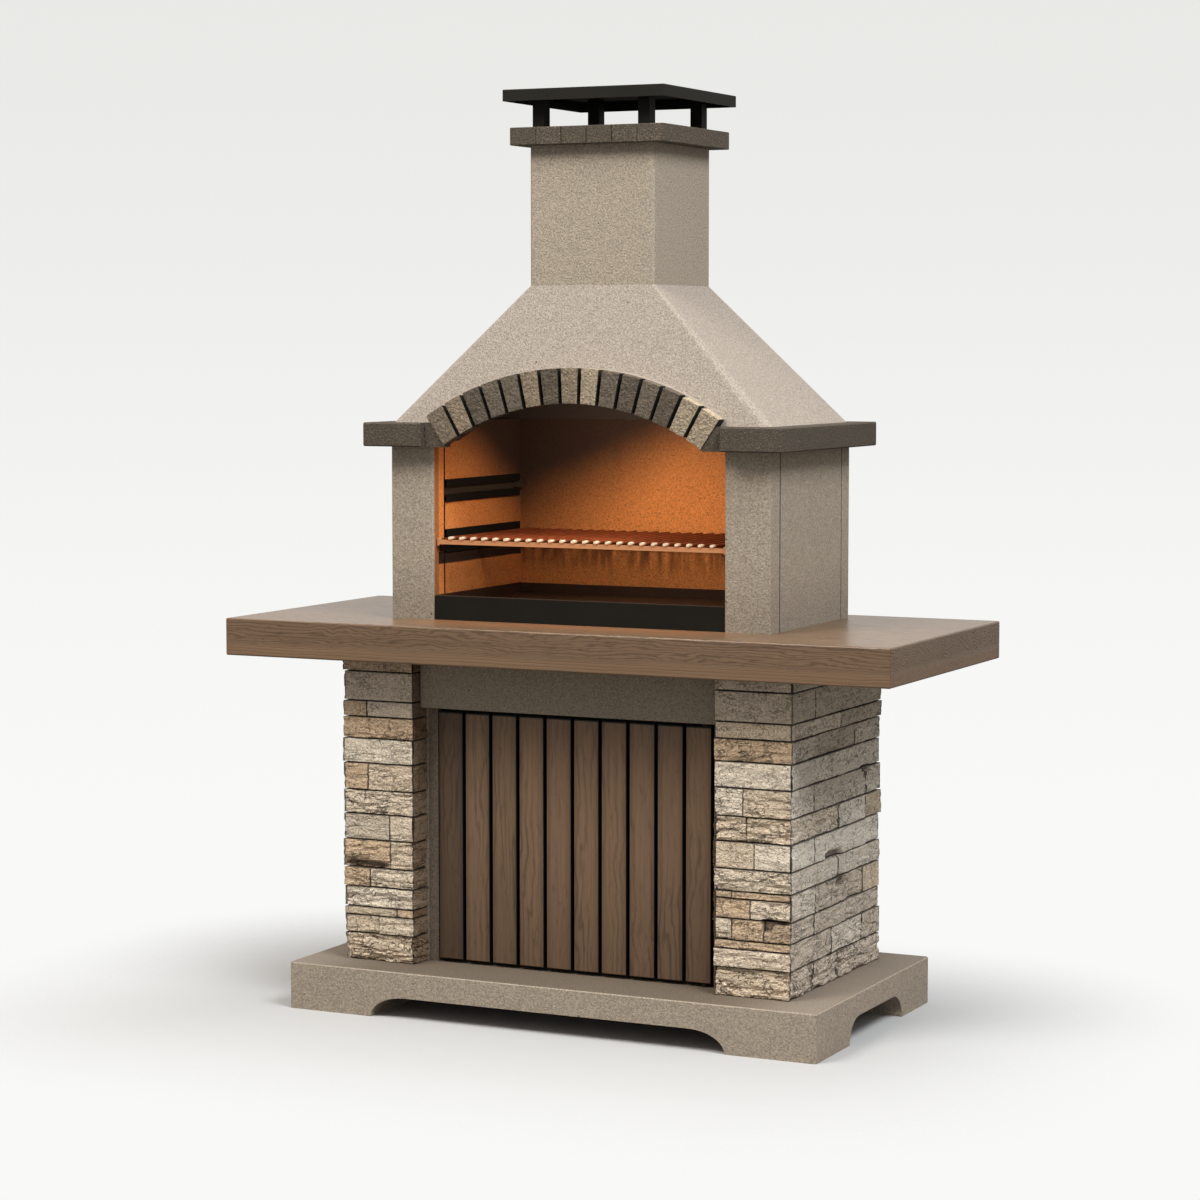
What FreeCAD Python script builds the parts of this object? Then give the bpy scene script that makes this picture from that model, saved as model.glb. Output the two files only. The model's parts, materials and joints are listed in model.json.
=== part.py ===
"""Stone garden barbecue with a chimney hood, in millimetres.

The origin is on the ground under the middle of the object.
+Z is up, the front faces -Y and +X is to the right as seen from the front.
"""

import FreeCAD, Part
import math
import os

os.makedirs("parts", exist_ok=True)

Vector = FreeCAD.Vector

# General
ARRIS = 3.0                 # eased edge of cast concrete and cut stone
SLIDE_GAP = 0.3             # height that a sliding piece keeps above its seat
CUT_MARGIN = 1.0            # length by which a cutter runs past what it cuts
SAME_PLACE = 0.01           # points closer than this are taken as one
CORNER_FACETS = 4           # flat facets that make up one rounded corner

# Plinth
BAY_WIDTH = 745.0           # clear space between the piers
PIER_WIDTH = 189.5
PLINTH_LEDGE_SIDE = 92.0    # plinth showing beside, before and behind the piers
PLINTH_LEDGE_FRONT = 85.0
PLINTH_LEDGE_REAR = 73.0
PLINTH_DEPTH = 700.0
PLINTH_HEIGHT = 108.5
FOOT_WIDTH = 213.0          # feet left by the cut-outs under the plinth
FRONT_FOOT_DEPTH = 197.5
REAR_FOOT_DEPTH = 175.5
FRONT_TUNNEL_HEIGHT = 49.0  # cut-out seen from the front
FRONT_TUNNEL_ROUND = 88.0   # length of each rounded end
TUNNEL_FACETS = 8           # flat facets that make up one rounded end
SIDE_TUNNEL_HEIGHT = 57.0   # cut-out seen from the side
SIDE_TUNNEL_ROUND = 58.0

# Stone piers
CLADDING = 38.0             # thickness of the stone facing
RETURN_DEPTH = 71.0         # facing that turns the corner into the bay
STONE_JOINT = 4.0
STONE_ARRIS = 2.5
THIN_STONE_SHARE = 0.2      # most of a thin stone's height that its eased edge takes
STONE_RECESS = 1.2          # one step of the uneven faces
RECESS_STEPS = 4
RECESS_STRIDE = 3           # steps from one stone to the next

# One row for each course from the bottom: its height, then the vertical joints.
# A joint's whole number is the face (0 return, 1 front, 2 outer side, 3 rear) and its
# fraction is the place along that face. A corner with no joint has a stone round it.
# A thin course stops at the outer corner, and past it the course below is as much taller.
OUTER_CORNER = 2
FACING_END = 4
THIN_COURSE = 20.0
RIGHT_COURSES = [
    (64.5, [1, 2, 2.25, 2.52, 3, 3.5]),
    (42.0, [1, 2, 2.45, 2.79, 3, 3.6]),
    (19.0, [1]),
    (47.5, [1, 1.24, 1.64, 2.25, 2.6, 3, 3.5]),
    (44.5, [1, 1.47, 2, 2.26, 2.52, 2.8, 3]),
    (16.0, [1, 1.24]),
    (49.5, [1, 2, 2.52, 3.4]),
    (59.5, [1, 1.52, 2, 2.25, 2.82, 3, 3.55]),
    (56.0, [1, 1.42, 2.52, 2.82, 3.35]),
    (62.5, [1, 1.38, 2, 2.25, 2.83, 3, 3.6]),
    (57.5, [1, 2, 2.6, 3]),
    (50.0, [1, 2.25, 2.7, 3, 3.45]),
    (37.0, [1, 2, 2.53, 3.3]),
    (68.0, [1, 2.25, 3]),
    (32.0, [1, 2, 2.6, 3]),
]
LEFT_COURSES = [
    (64.5, [1, 2, 2.3, 2.6, 3, 3.4]),
    (42.0, [1, 1.5, 2, 2.5, 3]),
    (19.0, [1, 1.25]),
    (47.5, [1, 2, 2.25, 2.75, 3.5]),
    (44.5, [1, 1.62, 2, 2.55, 3, 3.6]),
    (65.5, [1, 1.34, 2, 2.3, 2.8, 3]),
    (59.5, [1, 1.35, 2, 2.5, 3.35]),
    (56.0, [2, 2.3, 2.7, 3, 3.5]),
    (62.5, [1, 1.65, 2, 2.5, 3]),
    (57.5, [1, 2, 2.25, 2.75, 3.45]),
    (50.0, [2, 2.6, 3, 3.6]),
    (37.0, [1.66, 2.35, 3]),
    (68.0, [2, 2.5, 3, 3.5]),
    (32.0, [1, 2, 2.4, 3]),
]

# Bay between the piers
LINTEL_HEIGHT = 113.0
LINTEL_SETBACK = 34.0       # behind the piers' front
LINTEL_DEPTH = 81.0
JAMB_WIDTH = 25.5
JAMB_DEPTH = 64.0
REAR_PANEL_THICKNESS = 30.0

# Slatted door
SLAT_COUNT = 10
SLAT_GAP = 8.0
SLAT_THICKNESS = 18.0
SLAT_ARRIS = 1.5
BOARD_THICKNESS = 18.0
BOARD_BORDER = 3.0          # black board showing beside the outer slats
BOARD_END = 6.0             # black board showing above and below the slats
DOOR_SIDE_GAP = 2.0         # board to each jamb
DOOR_FOOT_GAP = 3.5         # board to the plinth and to the lintel
DOOR_PROUD = 6.5            # slat faces stand ahead of the jambs
PIVOT_INSET = 18.0          # pivot axis from the last slat's edge
PIVOT_SETBACK = 10.0        # pivot axis behind the slat faces
PIVOT_PIN_RADIUS = 4.0
PIVOT_PIN_LENGTH = 18.0
PIVOT_CLEARANCE = 0.05      # radial running fit
PIVOT_PLATE = (24.0, 14.0, 2.0)
BUSH_WALL = 3.0
BUSH_LENGTH = 16.0
STRIKE_PLATE = (30.0, 1.5, 50.0)
MAGNET = (24.0, 18.0, 46.0)
CATCH_RISE = 40.0           # catch above the door's middle
NAIL_SIDE = 3.0             # square cut nails
NAIL_REACH = 12.0           # length of a nail inside its slat
NAIL_END = 90.0             # nails from the board's ends

# Worktop
WORKTOP_OVERHANG_SIDE = 256.0   # past the piers
WORKTOP_OVERHANG_FACE = 5.0     # past the plinth
WORKTOP_THICKNESS = 86.0
WORKTOP_ROUND = 4.0
WORKTOP_TOP = 900.0

# Firebox
FIREBOX_MARGIN_FRONT = 172.8    # worktop showing before and behind the firebox
FIREBOX_MARGIN_REAR = 68.8
FIREBOX_HEIGHT = 397.6
PILLAR_INSET = 8.0          # pillars reach into the bay's width at each side
PILLAR_WIDTH = 109.2
PILLAR_DEPTH = 53.0
PILLAR_LIP = 8.0            # concrete that hides the lining's front edge
REAR_POST_DEPTH = 49.4
SIDE_PANEL_THICKNESS = 69.0
REAR_WALL_THICKNESS = 16.0
REAR_LINING_THICKNESS = 14.0
LINING_GAP = 3.0            # expansion joint in the firebrick
HEARTH_THICKNESS = 29.7

# Rails and grate
RAIL_HEIGHT = 52.0
RAIL_DEPTH = 14.0
RAIL_PROUD = 6.0            # rail standing out of the lining
RAIL_SHEET = 2.5
RAIL_SLOT = 18.0
LOWER_RAIL_RISE = 153.0     # above the worktop
UPPER_RAIL_RISE = 268.0
RAIL_REAR_GAP = 15.0        # rail end to the rear lining
RAIL_TONGUE = 30.0          # lower lip reaching forward past the jamb lining's joint
RAIL_STOP = (18.0, 12.0)    # reach and length of the stop in each slot
RAIL_LUG = (18.0, 20.0, 3.0)    # flat lug that keys a rail into its lining
RAIL_LUG_END = 60.0         # lugs from the rail's ends
GRATE_SIDE_CLEARANCE = 2.5
GRATE_FRONT_INSET = 14.0    # behind the pillars' front
GRATE_REAR_CLEARANCE = 6.0  # grate to the rail stops
GRATE_BAR = 6.0
GRATE_SIDE_HEIGHT = 16.0
GRATE_CROSS_RISE = 3.0      # cross bars above the side bars' underside
GRATE_CROSS_HEIGHT = 10.0
ROD_COUNT = 24
ROD_RADIUS = 4.0
ROD_OVERHANG = 3.0

# Ember tray
TRAY_SHEET = 3.0
TRAY_SIDE_CLEARANCE = 3.0
TRAY_FRONT_INSET = 4.0
TRAY_FRONT_HEIGHT = 56.5
TRAY_REAR_CLEARANCE = 12.0

# Mantel and arch
MANTEL_HEIGHT = 54.8
MANTEL_OVERHANG = 48.0
MANTEL_BLOCK_INSET = 6.5    # inner end of the front block from the opening's edge
SPRINGER_SETBACK = 19.0     # springer face behind the block's face
SPRINGER_REACH = 45.0       # springer's foot past the opening's edge
ARCH_RISE = 97.5
ARCH_SPRING = 4.4           # springing above the mantel's underside
ARCH_RING = 79.0
ARCH_PROUD = 33.3           # voussoir faces ahead of the pillars
MORTAR_BED = 3.0
MORTAR_INSET = 4.0
RIB_SETBACK = 10.0          # cast rib above the arch stones' undersides
VOUSSOIR_COUNT = 15
VOUSSOIR_JOINT = 9.0
VOUSSOIR_ARRIS = 2.0

# Hood and chimney
HOOD_HEIGHT = 311.6
HOOD_WALL_SIDE = 43.0
HOOD_WALL_FACE = 31.0
HOOD_BASE_ROUND = 26.0
CHIMNEY_WIDTH = 312.0
CHIMNEY_DEPTH = 306.0
CHIMNEY_HEIGHT = 315.0
CHIMNEY_WALL = 30.0
CHIMNEY_ROUND = 8.0
COLLAR_OVERHANG_SIDE = 35.5
COLLAR_OVERHANG_FACE = 29.0
COLLAR_HEIGHT = 40.0
COLLAR_BRICKS = 4
COLLAR_JOINT = 1.5
COLLAR_RAKE = 8.0           # depth of the joints between the bricks
POST_SIDE = 29.0
POST_INSET_SIDE = 24.5      # post's middle from the chimney's faces
POST_INSET_FACE = 11.0
COWL_GAP = 58.0             # open height under the lid's skirt
LID_OVERHANG_SIDE = 9.0     # past the collar
LID_OVERHANG_FACE = 18.5
LID_SKIRT = 26.0
LID_SHEET = 3.0

# Levels and lines that several pieces share
BAY_HALF = BAY_WIDTH / 2
PLINTH_HALF_X = BAY_HALF + PIER_WIDTH + PLINTH_LEDGE_SIDE
PLINTH_HALF_Y = PLINTH_DEPTH / 2
PIER_FRONT = -PLINTH_HALF_Y + PLINTH_LEDGE_FRONT
PIER_REAR = PLINTH_HALF_Y - PLINTH_LEDGE_REAR
WORKTOP_HALF_X = BAY_HALF + PIER_WIDTH + WORKTOP_OVERHANG_SIDE
WORKTOP_HALF_Y = PLINTH_HALF_Y + WORKTOP_OVERHANG_FACE
WORKTOP_UNDER = WORKTOP_TOP - WORKTOP_THICKNESS
LINTEL_UNDER = WORKTOP_UNDER - LINTEL_HEIGHT
JAMB_FRONT = PIER_FRONT + RETURN_DEPTH
JAMB_INNER = BAY_HALF - JAMB_WIDTH

SLAT_FRONT = JAMB_FRONT - DOOR_PROUD
BOARD_FRONT = SLAT_FRONT + SLAT_THICKNESS
BOARD_REAR = BOARD_FRONT + BOARD_THICKNESS
BOARD_HALF = JAMB_INNER - DOOR_SIDE_GAP
SLATS_HALF = BOARD_HALF - BOARD_BORDER
SLAT_PITCH = (2 * SLATS_HALF + SLAT_GAP) / SLAT_COUNT
SLAT_WIDTH = SLAT_PITCH - SLAT_GAP
BOARD_LOW = PLINTH_HEIGHT + DOOR_FOOT_GAP
BOARD_HIGH = LINTEL_UNDER - DOOR_FOOT_GAP
SLAT_LOW = BOARD_LOW + BOARD_END
SLAT_HIGH = BOARD_HIGH - BOARD_END
PIVOT_X = SLATS_HALF - PIVOT_INSET
PIVOT_Y = SLAT_FRONT + PIVOT_SETBACK
CATCH_MIDDLE = (BOARD_LOW + BOARD_HIGH) / 2 + CATCH_RISE

OPENING_HALF = BAY_HALF - PILLAR_INSET
FIREBOX_HALF = OPENING_HALF + PILLAR_WIDTH
FIREBOX_FRONT = -WORKTOP_HALF_Y + FIREBOX_MARGIN_FRONT
FIREBOX_REAR = WORKTOP_HALF_Y - FIREBOX_MARGIN_REAR
FIREBOX_DEPTH = FIREBOX_REAR - FIREBOX_FRONT
FIREBOX_TOP = WORKTOP_TOP + FIREBOX_HEIGHT
STACK_CENTRE = (FIREBOX_FRONT + FIREBOX_REAR) / 2
PANEL_INNER = FIREBOX_HALF - SIDE_PANEL_THICKNESS
PILLAR_REAR = FIREBOX_FRONT + PILLAR_DEPTH
POST_FRONT = FIREBOX_REAR - REAR_POST_DEPTH
REAR_WALL_FRONT = FIREBOX_REAR - REAR_WALL_THICKNESS
REAR_LINING_FRONT = REAR_WALL_FRONT - REAR_LINING_THICKNESS
SIDE_LINING_FRONT = PILLAR_REAR + LINING_GAP
HEARTH_TOP = WORKTOP_TOP + HEARTH_THICKNESS
MANTEL_TOP = FIREBOX_TOP + MANTEL_HEIGHT

RAIL_LIP = (RAIL_HEIGHT - RAIL_SLOT) / 2
RAIL_INNER = OPENING_HALF - RAIL_PROUD
RAIL_OUTER = RAIL_INNER + RAIL_DEPTH
RAIL_REAR = REAR_LINING_FRONT - RAIL_REAR_GAP
RAIL_BOTTOMS = {"lower": WORKTOP_TOP + LOWER_RAIL_RISE, "upper": WORKTOP_TOP + UPPER_RAIL_RISE}

ARCH_HALF_SPAN = OPENING_HALF - SPRINGER_REACH
ARCH_RADIUS = (ARCH_HALF_SPAN ** 2 + ARCH_RISE ** 2) / (2 * ARCH_RISE)
ARCH_CENTRE = FIREBOX_TOP + ARCH_SPRING + ARCH_RISE - ARCH_RADIUS
ARCH_HALF_ANGLE = math.asin(ARCH_HALF_SPAN / ARCH_RADIUS)
ARCH_OUTER = ARCH_RADIUS + ARCH_RING
RIB_RADIUS = ARCH_RADIUS + RIB_SETBACK
VOUSSOIR_FRONT = FIREBOX_FRONT - ARCH_PROUD
VOUSSOIR_REAR = FIREBOX_FRONT - MORTAR_BED

HOOD_TOP = MANTEL_TOP + HOOD_HEIGHT
CHIMNEY_TOP = HOOD_TOP + CHIMNEY_HEIGHT
FLUE_HALF_X = CHIMNEY_WIDTH / 2 - CHIMNEY_WALL
FLUE_HALF_Y = CHIMNEY_DEPTH / 2 - CHIMNEY_WALL
COLLAR_HALF_X = CHIMNEY_WIDTH / 2 + COLLAR_OVERHANG_SIDE
COLLAR_HALF_Y = CHIMNEY_DEPTH / 2 + COLLAR_OVERHANG_FACE
COLLAR_TOP = CHIMNEY_TOP + COLLAR_HEIGHT
LID_UNDER = COLLAR_TOP + COWL_GAP
LID_HALF_X = COLLAR_HALF_X + LID_OVERHANG_SIDE
LID_HALF_Y = COLLAR_HALF_Y + LID_OVERHANG_FACE


def block(x, y, z):
    """A box between the low and high values of each axis."""
    size = Vector(x[1] - x[0], y[1] - y[0], z[1] - z[0])
    return Part.makeBox(size.x, size.y, size.z, Vector(x[0], y[0], z[0]))


def prism(points, z):
    """A plan outline raised between two levels."""
    corners = [Vector(px, py, z[0]) for px, py in points]
    face = Part.Face(Part.makePolygon(corners + corners[:1]))
    return face.extrude(Vector(0, 0, z[1] - z[0]))


def rod(start, direction, radius, length):
    """A round bar from a point along a direction."""
    return Part.makeCylinder(radius, length, start, direction)


def mirrored(shape):
    """The same piece on the other side of the middle plane."""
    return shape.mirror(Vector(0, 0, 0), Vector(1, 0, 0))


def eased(shape, size, chosen=None):
    """Takes the sharp arris off all edges, or off those that pass a test."""
    edges = [edge for edge in shape.Edges if chosen is None or chosen(edge)]
    return shape.makeChamfer(size, edges)


def upright(edge):
    """True for an edge that runs along Z."""
    low, high = edge.Vertexes[0].Point, edge.Vertexes[-1].Point
    return abs(low.x - high.x) + abs(low.y - high.y) < SAME_PLACE


def rounded_outline(half_x, half_y, radius, z):
    """Points of a rectangle about the stack's middle line, with its corners rounded in facets."""
    points = []
    for corner, (side_x, side_y) in enumerate(((1, 1), (-1, 1), (-1, -1), (1, -1))):
        centre = Vector(side_x * (half_x - radius), STACK_CENTRE + side_y * (half_y - radius), z)
        for step in range(CORNER_FACETS + 1):
            angle = (corner + step / CORNER_FACETS) * math.pi / 2
            points.append(centre + Vector(math.cos(angle), math.sin(angle), 0) * radius)
    return points


def flat_face(points):
    return Part.Face(Part.makePolygon(points + points[:1]))


def frustum(low, high):
    """The solid between two outlines whose points match."""
    following = [*range(1, len(low)), 0]
    sides = [flat_face([low[i], low[j], high[j], high[i]]) for i, j in enumerate(following)]
    return Part.Solid(Part.Shell(sides + [flat_face(low[::-1]), flat_face(high)]))


def tunnel(width, height, round_length, length, along_x):
    """The space between two feet: a flat roof with quarter-ellipse ends in facets."""
    flat = width / 2 - round_length
    profile = [(width / 2, -CUT_MARGIN)]
    for step in range(TUNNEL_FACETS + 1):
        angle = step / TUNNEL_FACETS * math.pi / 2
        profile.append((flat + round_length * math.cos(angle), height * math.sin(angle)))
    profile += [(-across, up) for across, up in profile[::-1]]
    start = -length / 2
    if along_x:
        return flat_face([Vector(start, across, up) for across, up in profile]).extrude(Vector(length, 0, 0))
    return flat_face([Vector(across, start, up) for across, up in profile]).extrude(Vector(0, length, 0))


def plinth():
    half_x, half_y = PLINTH_HALF_X, PLINTH_HALF_Y
    slab = block((-half_x, half_x), (-half_y, half_y), (0, PLINTH_HEIGHT))
    slab = eased(slab, ARRIS, lambda edge: upright(edge) or edge.BoundBox.ZMin > CUT_MARGIN)
    front_width = 2 * (half_x - FOOT_WIDTH)
    front = tunnel(front_width, FRONT_TUNNEL_HEIGHT, FRONT_TUNNEL_ROUND, 3 * half_y, False)
    side_width = PLINTH_DEPTH - FRONT_FOOT_DEPTH - REAR_FOOT_DEPTH
    side = tunnel(side_width, SIDE_TUNNEL_HEIGHT, SIDE_TUNNEL_ROUND, 3 * half_x, True)
    side.translate(Vector(0, (FRONT_FOOT_DEPTH - REAR_FOOT_DEPTH) / 2, 0))
    bush = pivot_bush_space(PLINTH_HEIGHT - BUSH_LENGTH)
    return slab.cut([front, side, bush])


def pier_core():
    """The right pier's concrete core, flush with the facing inside the bay."""
    inner, outer = BAY_HALF, BAY_HALF + PIER_WIDTH - CLADDING
    front, rear = PIER_FRONT + CLADDING, PIER_REAR - CLADDING
    outline = [
        (inner + CLADDING, front),
        (outer, front),
        (outer, rear),
        (inner, rear),
        (inner, JAMB_FRONT),
        (inner + CLADDING, JAMB_FRONT),
    ]
    return prism(outline, (PLINTH_HEIGHT, WORKTOP_UNDER))


def facing_point(place, depth, shift, leaving):
    """A point of the facing's plan outline.

    place counts faces as in the courses, depth goes in from the face and shift goes along
    it. At a corner the outline is mitred, and leaving says which of its faces to follow.
    """
    inner, outer = BAY_HALF, BAY_HALF + PIER_WIDTH
    corners = [
        Vector(inner, JAMB_FRONT, 0),
        Vector(inner, PIER_FRONT, 0),
        Vector(outer, PIER_FRONT, 0),
        Vector(outer, PIER_REAR, 0),
        Vector(inner, PIER_REAR, 0),
    ]
    inward = [Vector(1, 0, 0), Vector(0, 1, 0), Vector(-1, 0, 0), Vector(0, -1, 0)]
    face = int(place) if leaving else math.ceil(place) - 1
    along = corners[face + 1] - corners[face]
    point = corners[face] + along * (place - face) + inward[face] * depth
    if place == face and face > 0:
        point += inward[face - 1] * depth
    if place == face + 1 and face + 1 < len(inward):
        point += inward[face + 1] * depth
    return point + along.normalize() * shift


def facing_stone(start, end, recess, z):
    """One stone between two joints, with its outer edges eased."""
    half_joint = STONE_JOINT / 2
    begin = 0 if start == 0 else half_joint
    finish = 0 if end == FACING_END else -half_joint
    corners = range(int(start) + 1, math.ceil(end))
    outer = [facing_point(start, recess, begin, True)]
    outer += [facing_point(corner, recess, 0, True) for corner in corners]
    outer.append(facing_point(end, recess, finish, False))
    inner = [facing_point(start, CLADDING, begin, True)]
    inner += [facing_point(corner, CLADDING, 0, True) for corner in corners]
    inner.append(facing_point(end, CLADDING, finish, False))
    outline = [(point.x, point.y) for point in outer + inner[::-1]]
    stone = prism(outline, (z[0] + half_joint, z[1] - half_joint))

    def on_face(edge):
        spots = [vertex.Point for vertex in edge.Vertexes]
        return all(any(abs(p.x - o.x) + abs(p.y - o.y) < SAME_PLACE for o in outer) for p in spots)

    return eased(stone, min(STONE_ARRIS, THIN_STONE_SHARE * (z[1] - z[0])), on_face)


def pier_stones(courses):
    """The right pier's facing, one solid for each stone."""
    scale = (WORKTOP_UNDER - PLINTH_HEIGHT) / sum(height for height, joints in courses)
    thin = [height < THIN_COURSE for height, joints in courses] + [False]
    levels = [PLINTH_HEIGHT]
    for height, joints in courses:
        levels.append(levels[-1] + height * scale)
    stones = []
    for course, (height, joints) in enumerate(courses):
        places = [0] + joints + [OUTER_CORNER if thin[course] else FACING_END]
        for start, end in zip(places, places[1:]):
            recess = STONE_RECESS * (RECESS_STRIDE * len(stones) % RECESS_STEPS)
            taller = start >= OUTER_CORNER and thin[course + 1]
            top = levels[course + 2 if taller else course + 1]
            stones.append(facing_stone(start, end, recess, (levels[course], top)))
    return Part.makeCompound(stones)


def lintel():
    front = PIER_FRONT + LINTEL_SETBACK
    beam = block((-BAY_HALF, BAY_HALF), (front, front + LINTEL_DEPTH), (LINTEL_UNDER, WORKTOP_UNDER))
    beam = eased(beam, ARRIS, lambda edge: edge.BoundBox.YMax < front + CUT_MARGIN and not upright(edge))
    return beam.cut(pivot_bush_space(LINTEL_UNDER))


def jamb():
    y = (JAMB_FRONT, JAMB_FRONT + JAMB_DEPTH)
    return block((JAMB_INNER, BAY_HALF), y, (PLINTH_HEIGHT, LINTEL_UNDER))


def bay_rear_panel():
    rear = (PIER_REAR - REAR_PANEL_THICKNESS, PIER_REAR)
    return block((-BAY_HALF, BAY_HALF), rear, (PLINTH_HEIGHT, WORKTOP_UNDER))


def pivot_bush_space(low):
    """The hole for a door bush whose lower end is at a level."""
    return rod(Vector(PIVOT_X, PIVOT_Y, low), Vector(0, 0, 1), bush_radius(), BUSH_LENGTH)


def bush_radius():
    return PIVOT_PIN_RADIUS + PIVOT_CLEARANCE + BUSH_WALL


def pivot_bushes():
    """Two flanged bushes: the lower one carries the door, the upper one guides it."""
    up = Vector(0, 0, 1)
    plate = PIVOT_PLATE[2]
    bore = PIVOT_PIN_RADIUS + PIVOT_CLEARANCE
    flange = BOARD_FRONT - PIVOT_Y - SLIDE_GAP
    seats = (
        (PLINTH_HEIGHT - BUSH_LENGTH, PLINTH_HEIGHT, SLAT_LOW - plate - SLIDE_GAP),
        (LINTEL_UNDER, SLAT_HIGH + plate + SLIDE_GAP, LINTEL_UNDER),
    )
    bushes = []
    for low, flange_low, flange_high in seats:
        sleeve = rod(Vector(PIVOT_X, PIVOT_Y, low), up, bush_radius(), BUSH_LENGTH)
        collar = rod(Vector(PIVOT_X, PIVOT_Y, flange_low), up, flange, flange_high - flange_low)
        bottom = min(low, flange_low)
        top = max(low + BUSH_LENGTH, flange_high)
        hole = rod(Vector(PIVOT_X, PIVOT_Y, bottom), up, bore, top - bottom)
        bushes.append(sleeve.fuse(collar).cut(hole).removeSplitter())
    return Part.makeCompound(bushes)


def pivot_pins():
    """The door's two pivots, each a plate on the last slat's end with a pin."""
    length, width, thickness = PIVOT_PLATE
    pivots = []
    for low, way in ((SLAT_HIGH, 1), (SLAT_LOW - thickness, -1)):
        middle = SLATS_HALF - length / 2
        plate = block(
            (middle - length / 2, middle + length / 2),
            (PIVOT_Y - width / 2, PIVOT_Y + width / 2),
            (low, low + thickness),
        )
        pin = rod(Vector(PIVOT_X, PIVOT_Y, low), Vector(0, 0, way), PIVOT_PIN_RADIUS, PIVOT_PIN_LENGTH)
        pivots.append(plate.fuse(pin).removeSplitter())
    return Part.makeCompound(pivots)


def slat_left(index):
    return -SLATS_HALF + index * SLAT_PITCH


def door_slat(index):
    left = slat_left(index)
    slat = block((left, left + SLAT_WIDTH), (SLAT_FRONT, BOARD_FRONT), (SLAT_LOW, SLAT_HIGH))
    slat = eased(slat, SLAT_ARRIS, lambda edge: edge.BoundBox.YMax < SLAT_FRONT + SAME_PLACE)
    return slat.cut(nails_of_slat(index))


def nails_of_slat(index):
    """The two nails that hold one slat, driven flush from behind the board."""
    half = NAIL_SIDE / 2
    x = slat_left(index) + SLAT_WIDTH / 2
    y = (BOARD_FRONT - NAIL_REACH, BOARD_REAR)
    return [block((x - half, x + half), y, (z - half, z + half))
            for z in (BOARD_LOW + NAIL_END, BOARD_HIGH - NAIL_END)]


def all_slat_nails():
    return [nail for index in range(SLAT_COUNT) for nail in nails_of_slat(index)]


def door_board():
    board = block((-BOARD_HALF, BOARD_HALF), (BOARD_FRONT, BOARD_REAR), (BOARD_LOW, BOARD_HIGH))
    return board.cut(all_slat_nails())


def strike_plate():
    width, thickness, height = STRIKE_PLATE
    left = -BOARD_HALF
    low = CATCH_MIDDLE - height / 2
    return block((left, left + width), (BOARD_REAR, BOARD_REAR + thickness), (low, low + height))


def catch_magnet():
    """The magnet on the left jamb, a hair behind the closed door's strike plate."""
    width, depth, height = MAGNET
    front = BOARD_REAR + STRIKE_PLATE[1] + SLIDE_GAP
    low = CATCH_MIDDLE - height / 2
    return block((-JAMB_INNER, -JAMB_INNER + width), (front, front + depth), (low, low + height))


def worktop():
    half_x, half_y = WORKTOP_HALF_X, WORKTOP_HALF_Y
    slab = block((-half_x, half_x), (-half_y, half_y), (WORKTOP_UNDER, WORKTOP_TOP))
    return slab.makeFillet(WORKTOP_ROUND, slab.Edges)


def hearth_slab():
    front = FIREBOX_FRONT + TRAY_FRONT_INSET + TRAY_SHEET + TRAY_SIDE_CLEARANCE
    return block((-OPENING_HALF, OPENING_HALF), (front, REAR_LINING_FRONT), (WORKTOP_TOP, HEARTH_TOP))


def front_pillar():
    """The right pillar, with a lip that hides the lining's front edge."""
    outline = [
        (OPENING_HALF, FIREBOX_FRONT),
        (FIREBOX_HALF, FIREBOX_FRONT),
        (FIREBOX_HALF, PILLAR_REAR),
        (PANEL_INNER, PILLAR_REAR),
        (PANEL_INNER, FIREBOX_FRONT + PILLAR_LIP),
        (OPENING_HALF, FIREBOX_FRONT + PILLAR_LIP),
    ]
    pillar = prism(outline, (WORKTOP_TOP, FIREBOX_TOP))
    return eased(pillar, ARRIS, lambda edge: upright(edge) and on_outer_corner(edge))


def on_outer_corner(edge):
    """True for an upright edge on the firebox's outer corner or its opening's front edge."""
    spot = edge.Vertexes[0].Point
    at_front = abs(spot.y - FIREBOX_FRONT) < SAME_PLACE
    return at_front or abs(abs(spot.x) - FIREBOX_HALF) < SAME_PLACE


def side_panel():
    panel = block((PANEL_INNER, FIREBOX_HALF), (PILLAR_REAR, POST_FRONT), (WORKTOP_TOP, FIREBOX_TOP))
    return eased(panel, ARRIS / 2, lambda edge: upright(edge) and on_outer_corner(edge))


def rear_post():
    post = block((PANEL_INNER, FIREBOX_HALF), (POST_FRONT, FIREBOX_REAR), (WORKTOP_TOP, FIREBOX_TOP))
    return eased(post, ARRIS, lambda edge: upright(edge) and on_outer_corner(edge))


def rear_wall():
    y = (REAR_WALL_FRONT, FIREBOX_REAR)
    return block((-PANEL_INNER, PANEL_INNER), y, (WORKTOP_TOP, FIREBOX_TOP))


def jamb_lining():
    y = (FIREBOX_FRONT + PILLAR_LIP, PILLAR_REAR)
    return block((OPENING_HALF, PANEL_INNER), y, (WORKTOP_TOP, FIREBOX_TOP))


def side_lining():
    """The right lining, with a bed for each rail and its lugs."""
    y = (SIDE_LINING_FRONT, REAR_LINING_FRONT)
    slab = block((OPENING_HALF, PANEL_INNER), y, (WORKTOP_TOP, MANTEL_TOP))
    beds = [block((OPENING_HALF, RAIL_OUTER), (SIDE_LINING_FRONT, RAIL_REAR), (low, low + RAIL_HEIGHT))
            for low in RAIL_BOTTOMS.values()]
    return slab.cut(beds).cut(right_rail_lugs())


def rear_lining():
    y = (REAR_LINING_FRONT, REAR_WALL_FRONT)
    return block((-PANEL_INNER, PANEL_INNER), y, (WORKTOP_TOP, MANTEL_TOP))


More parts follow.
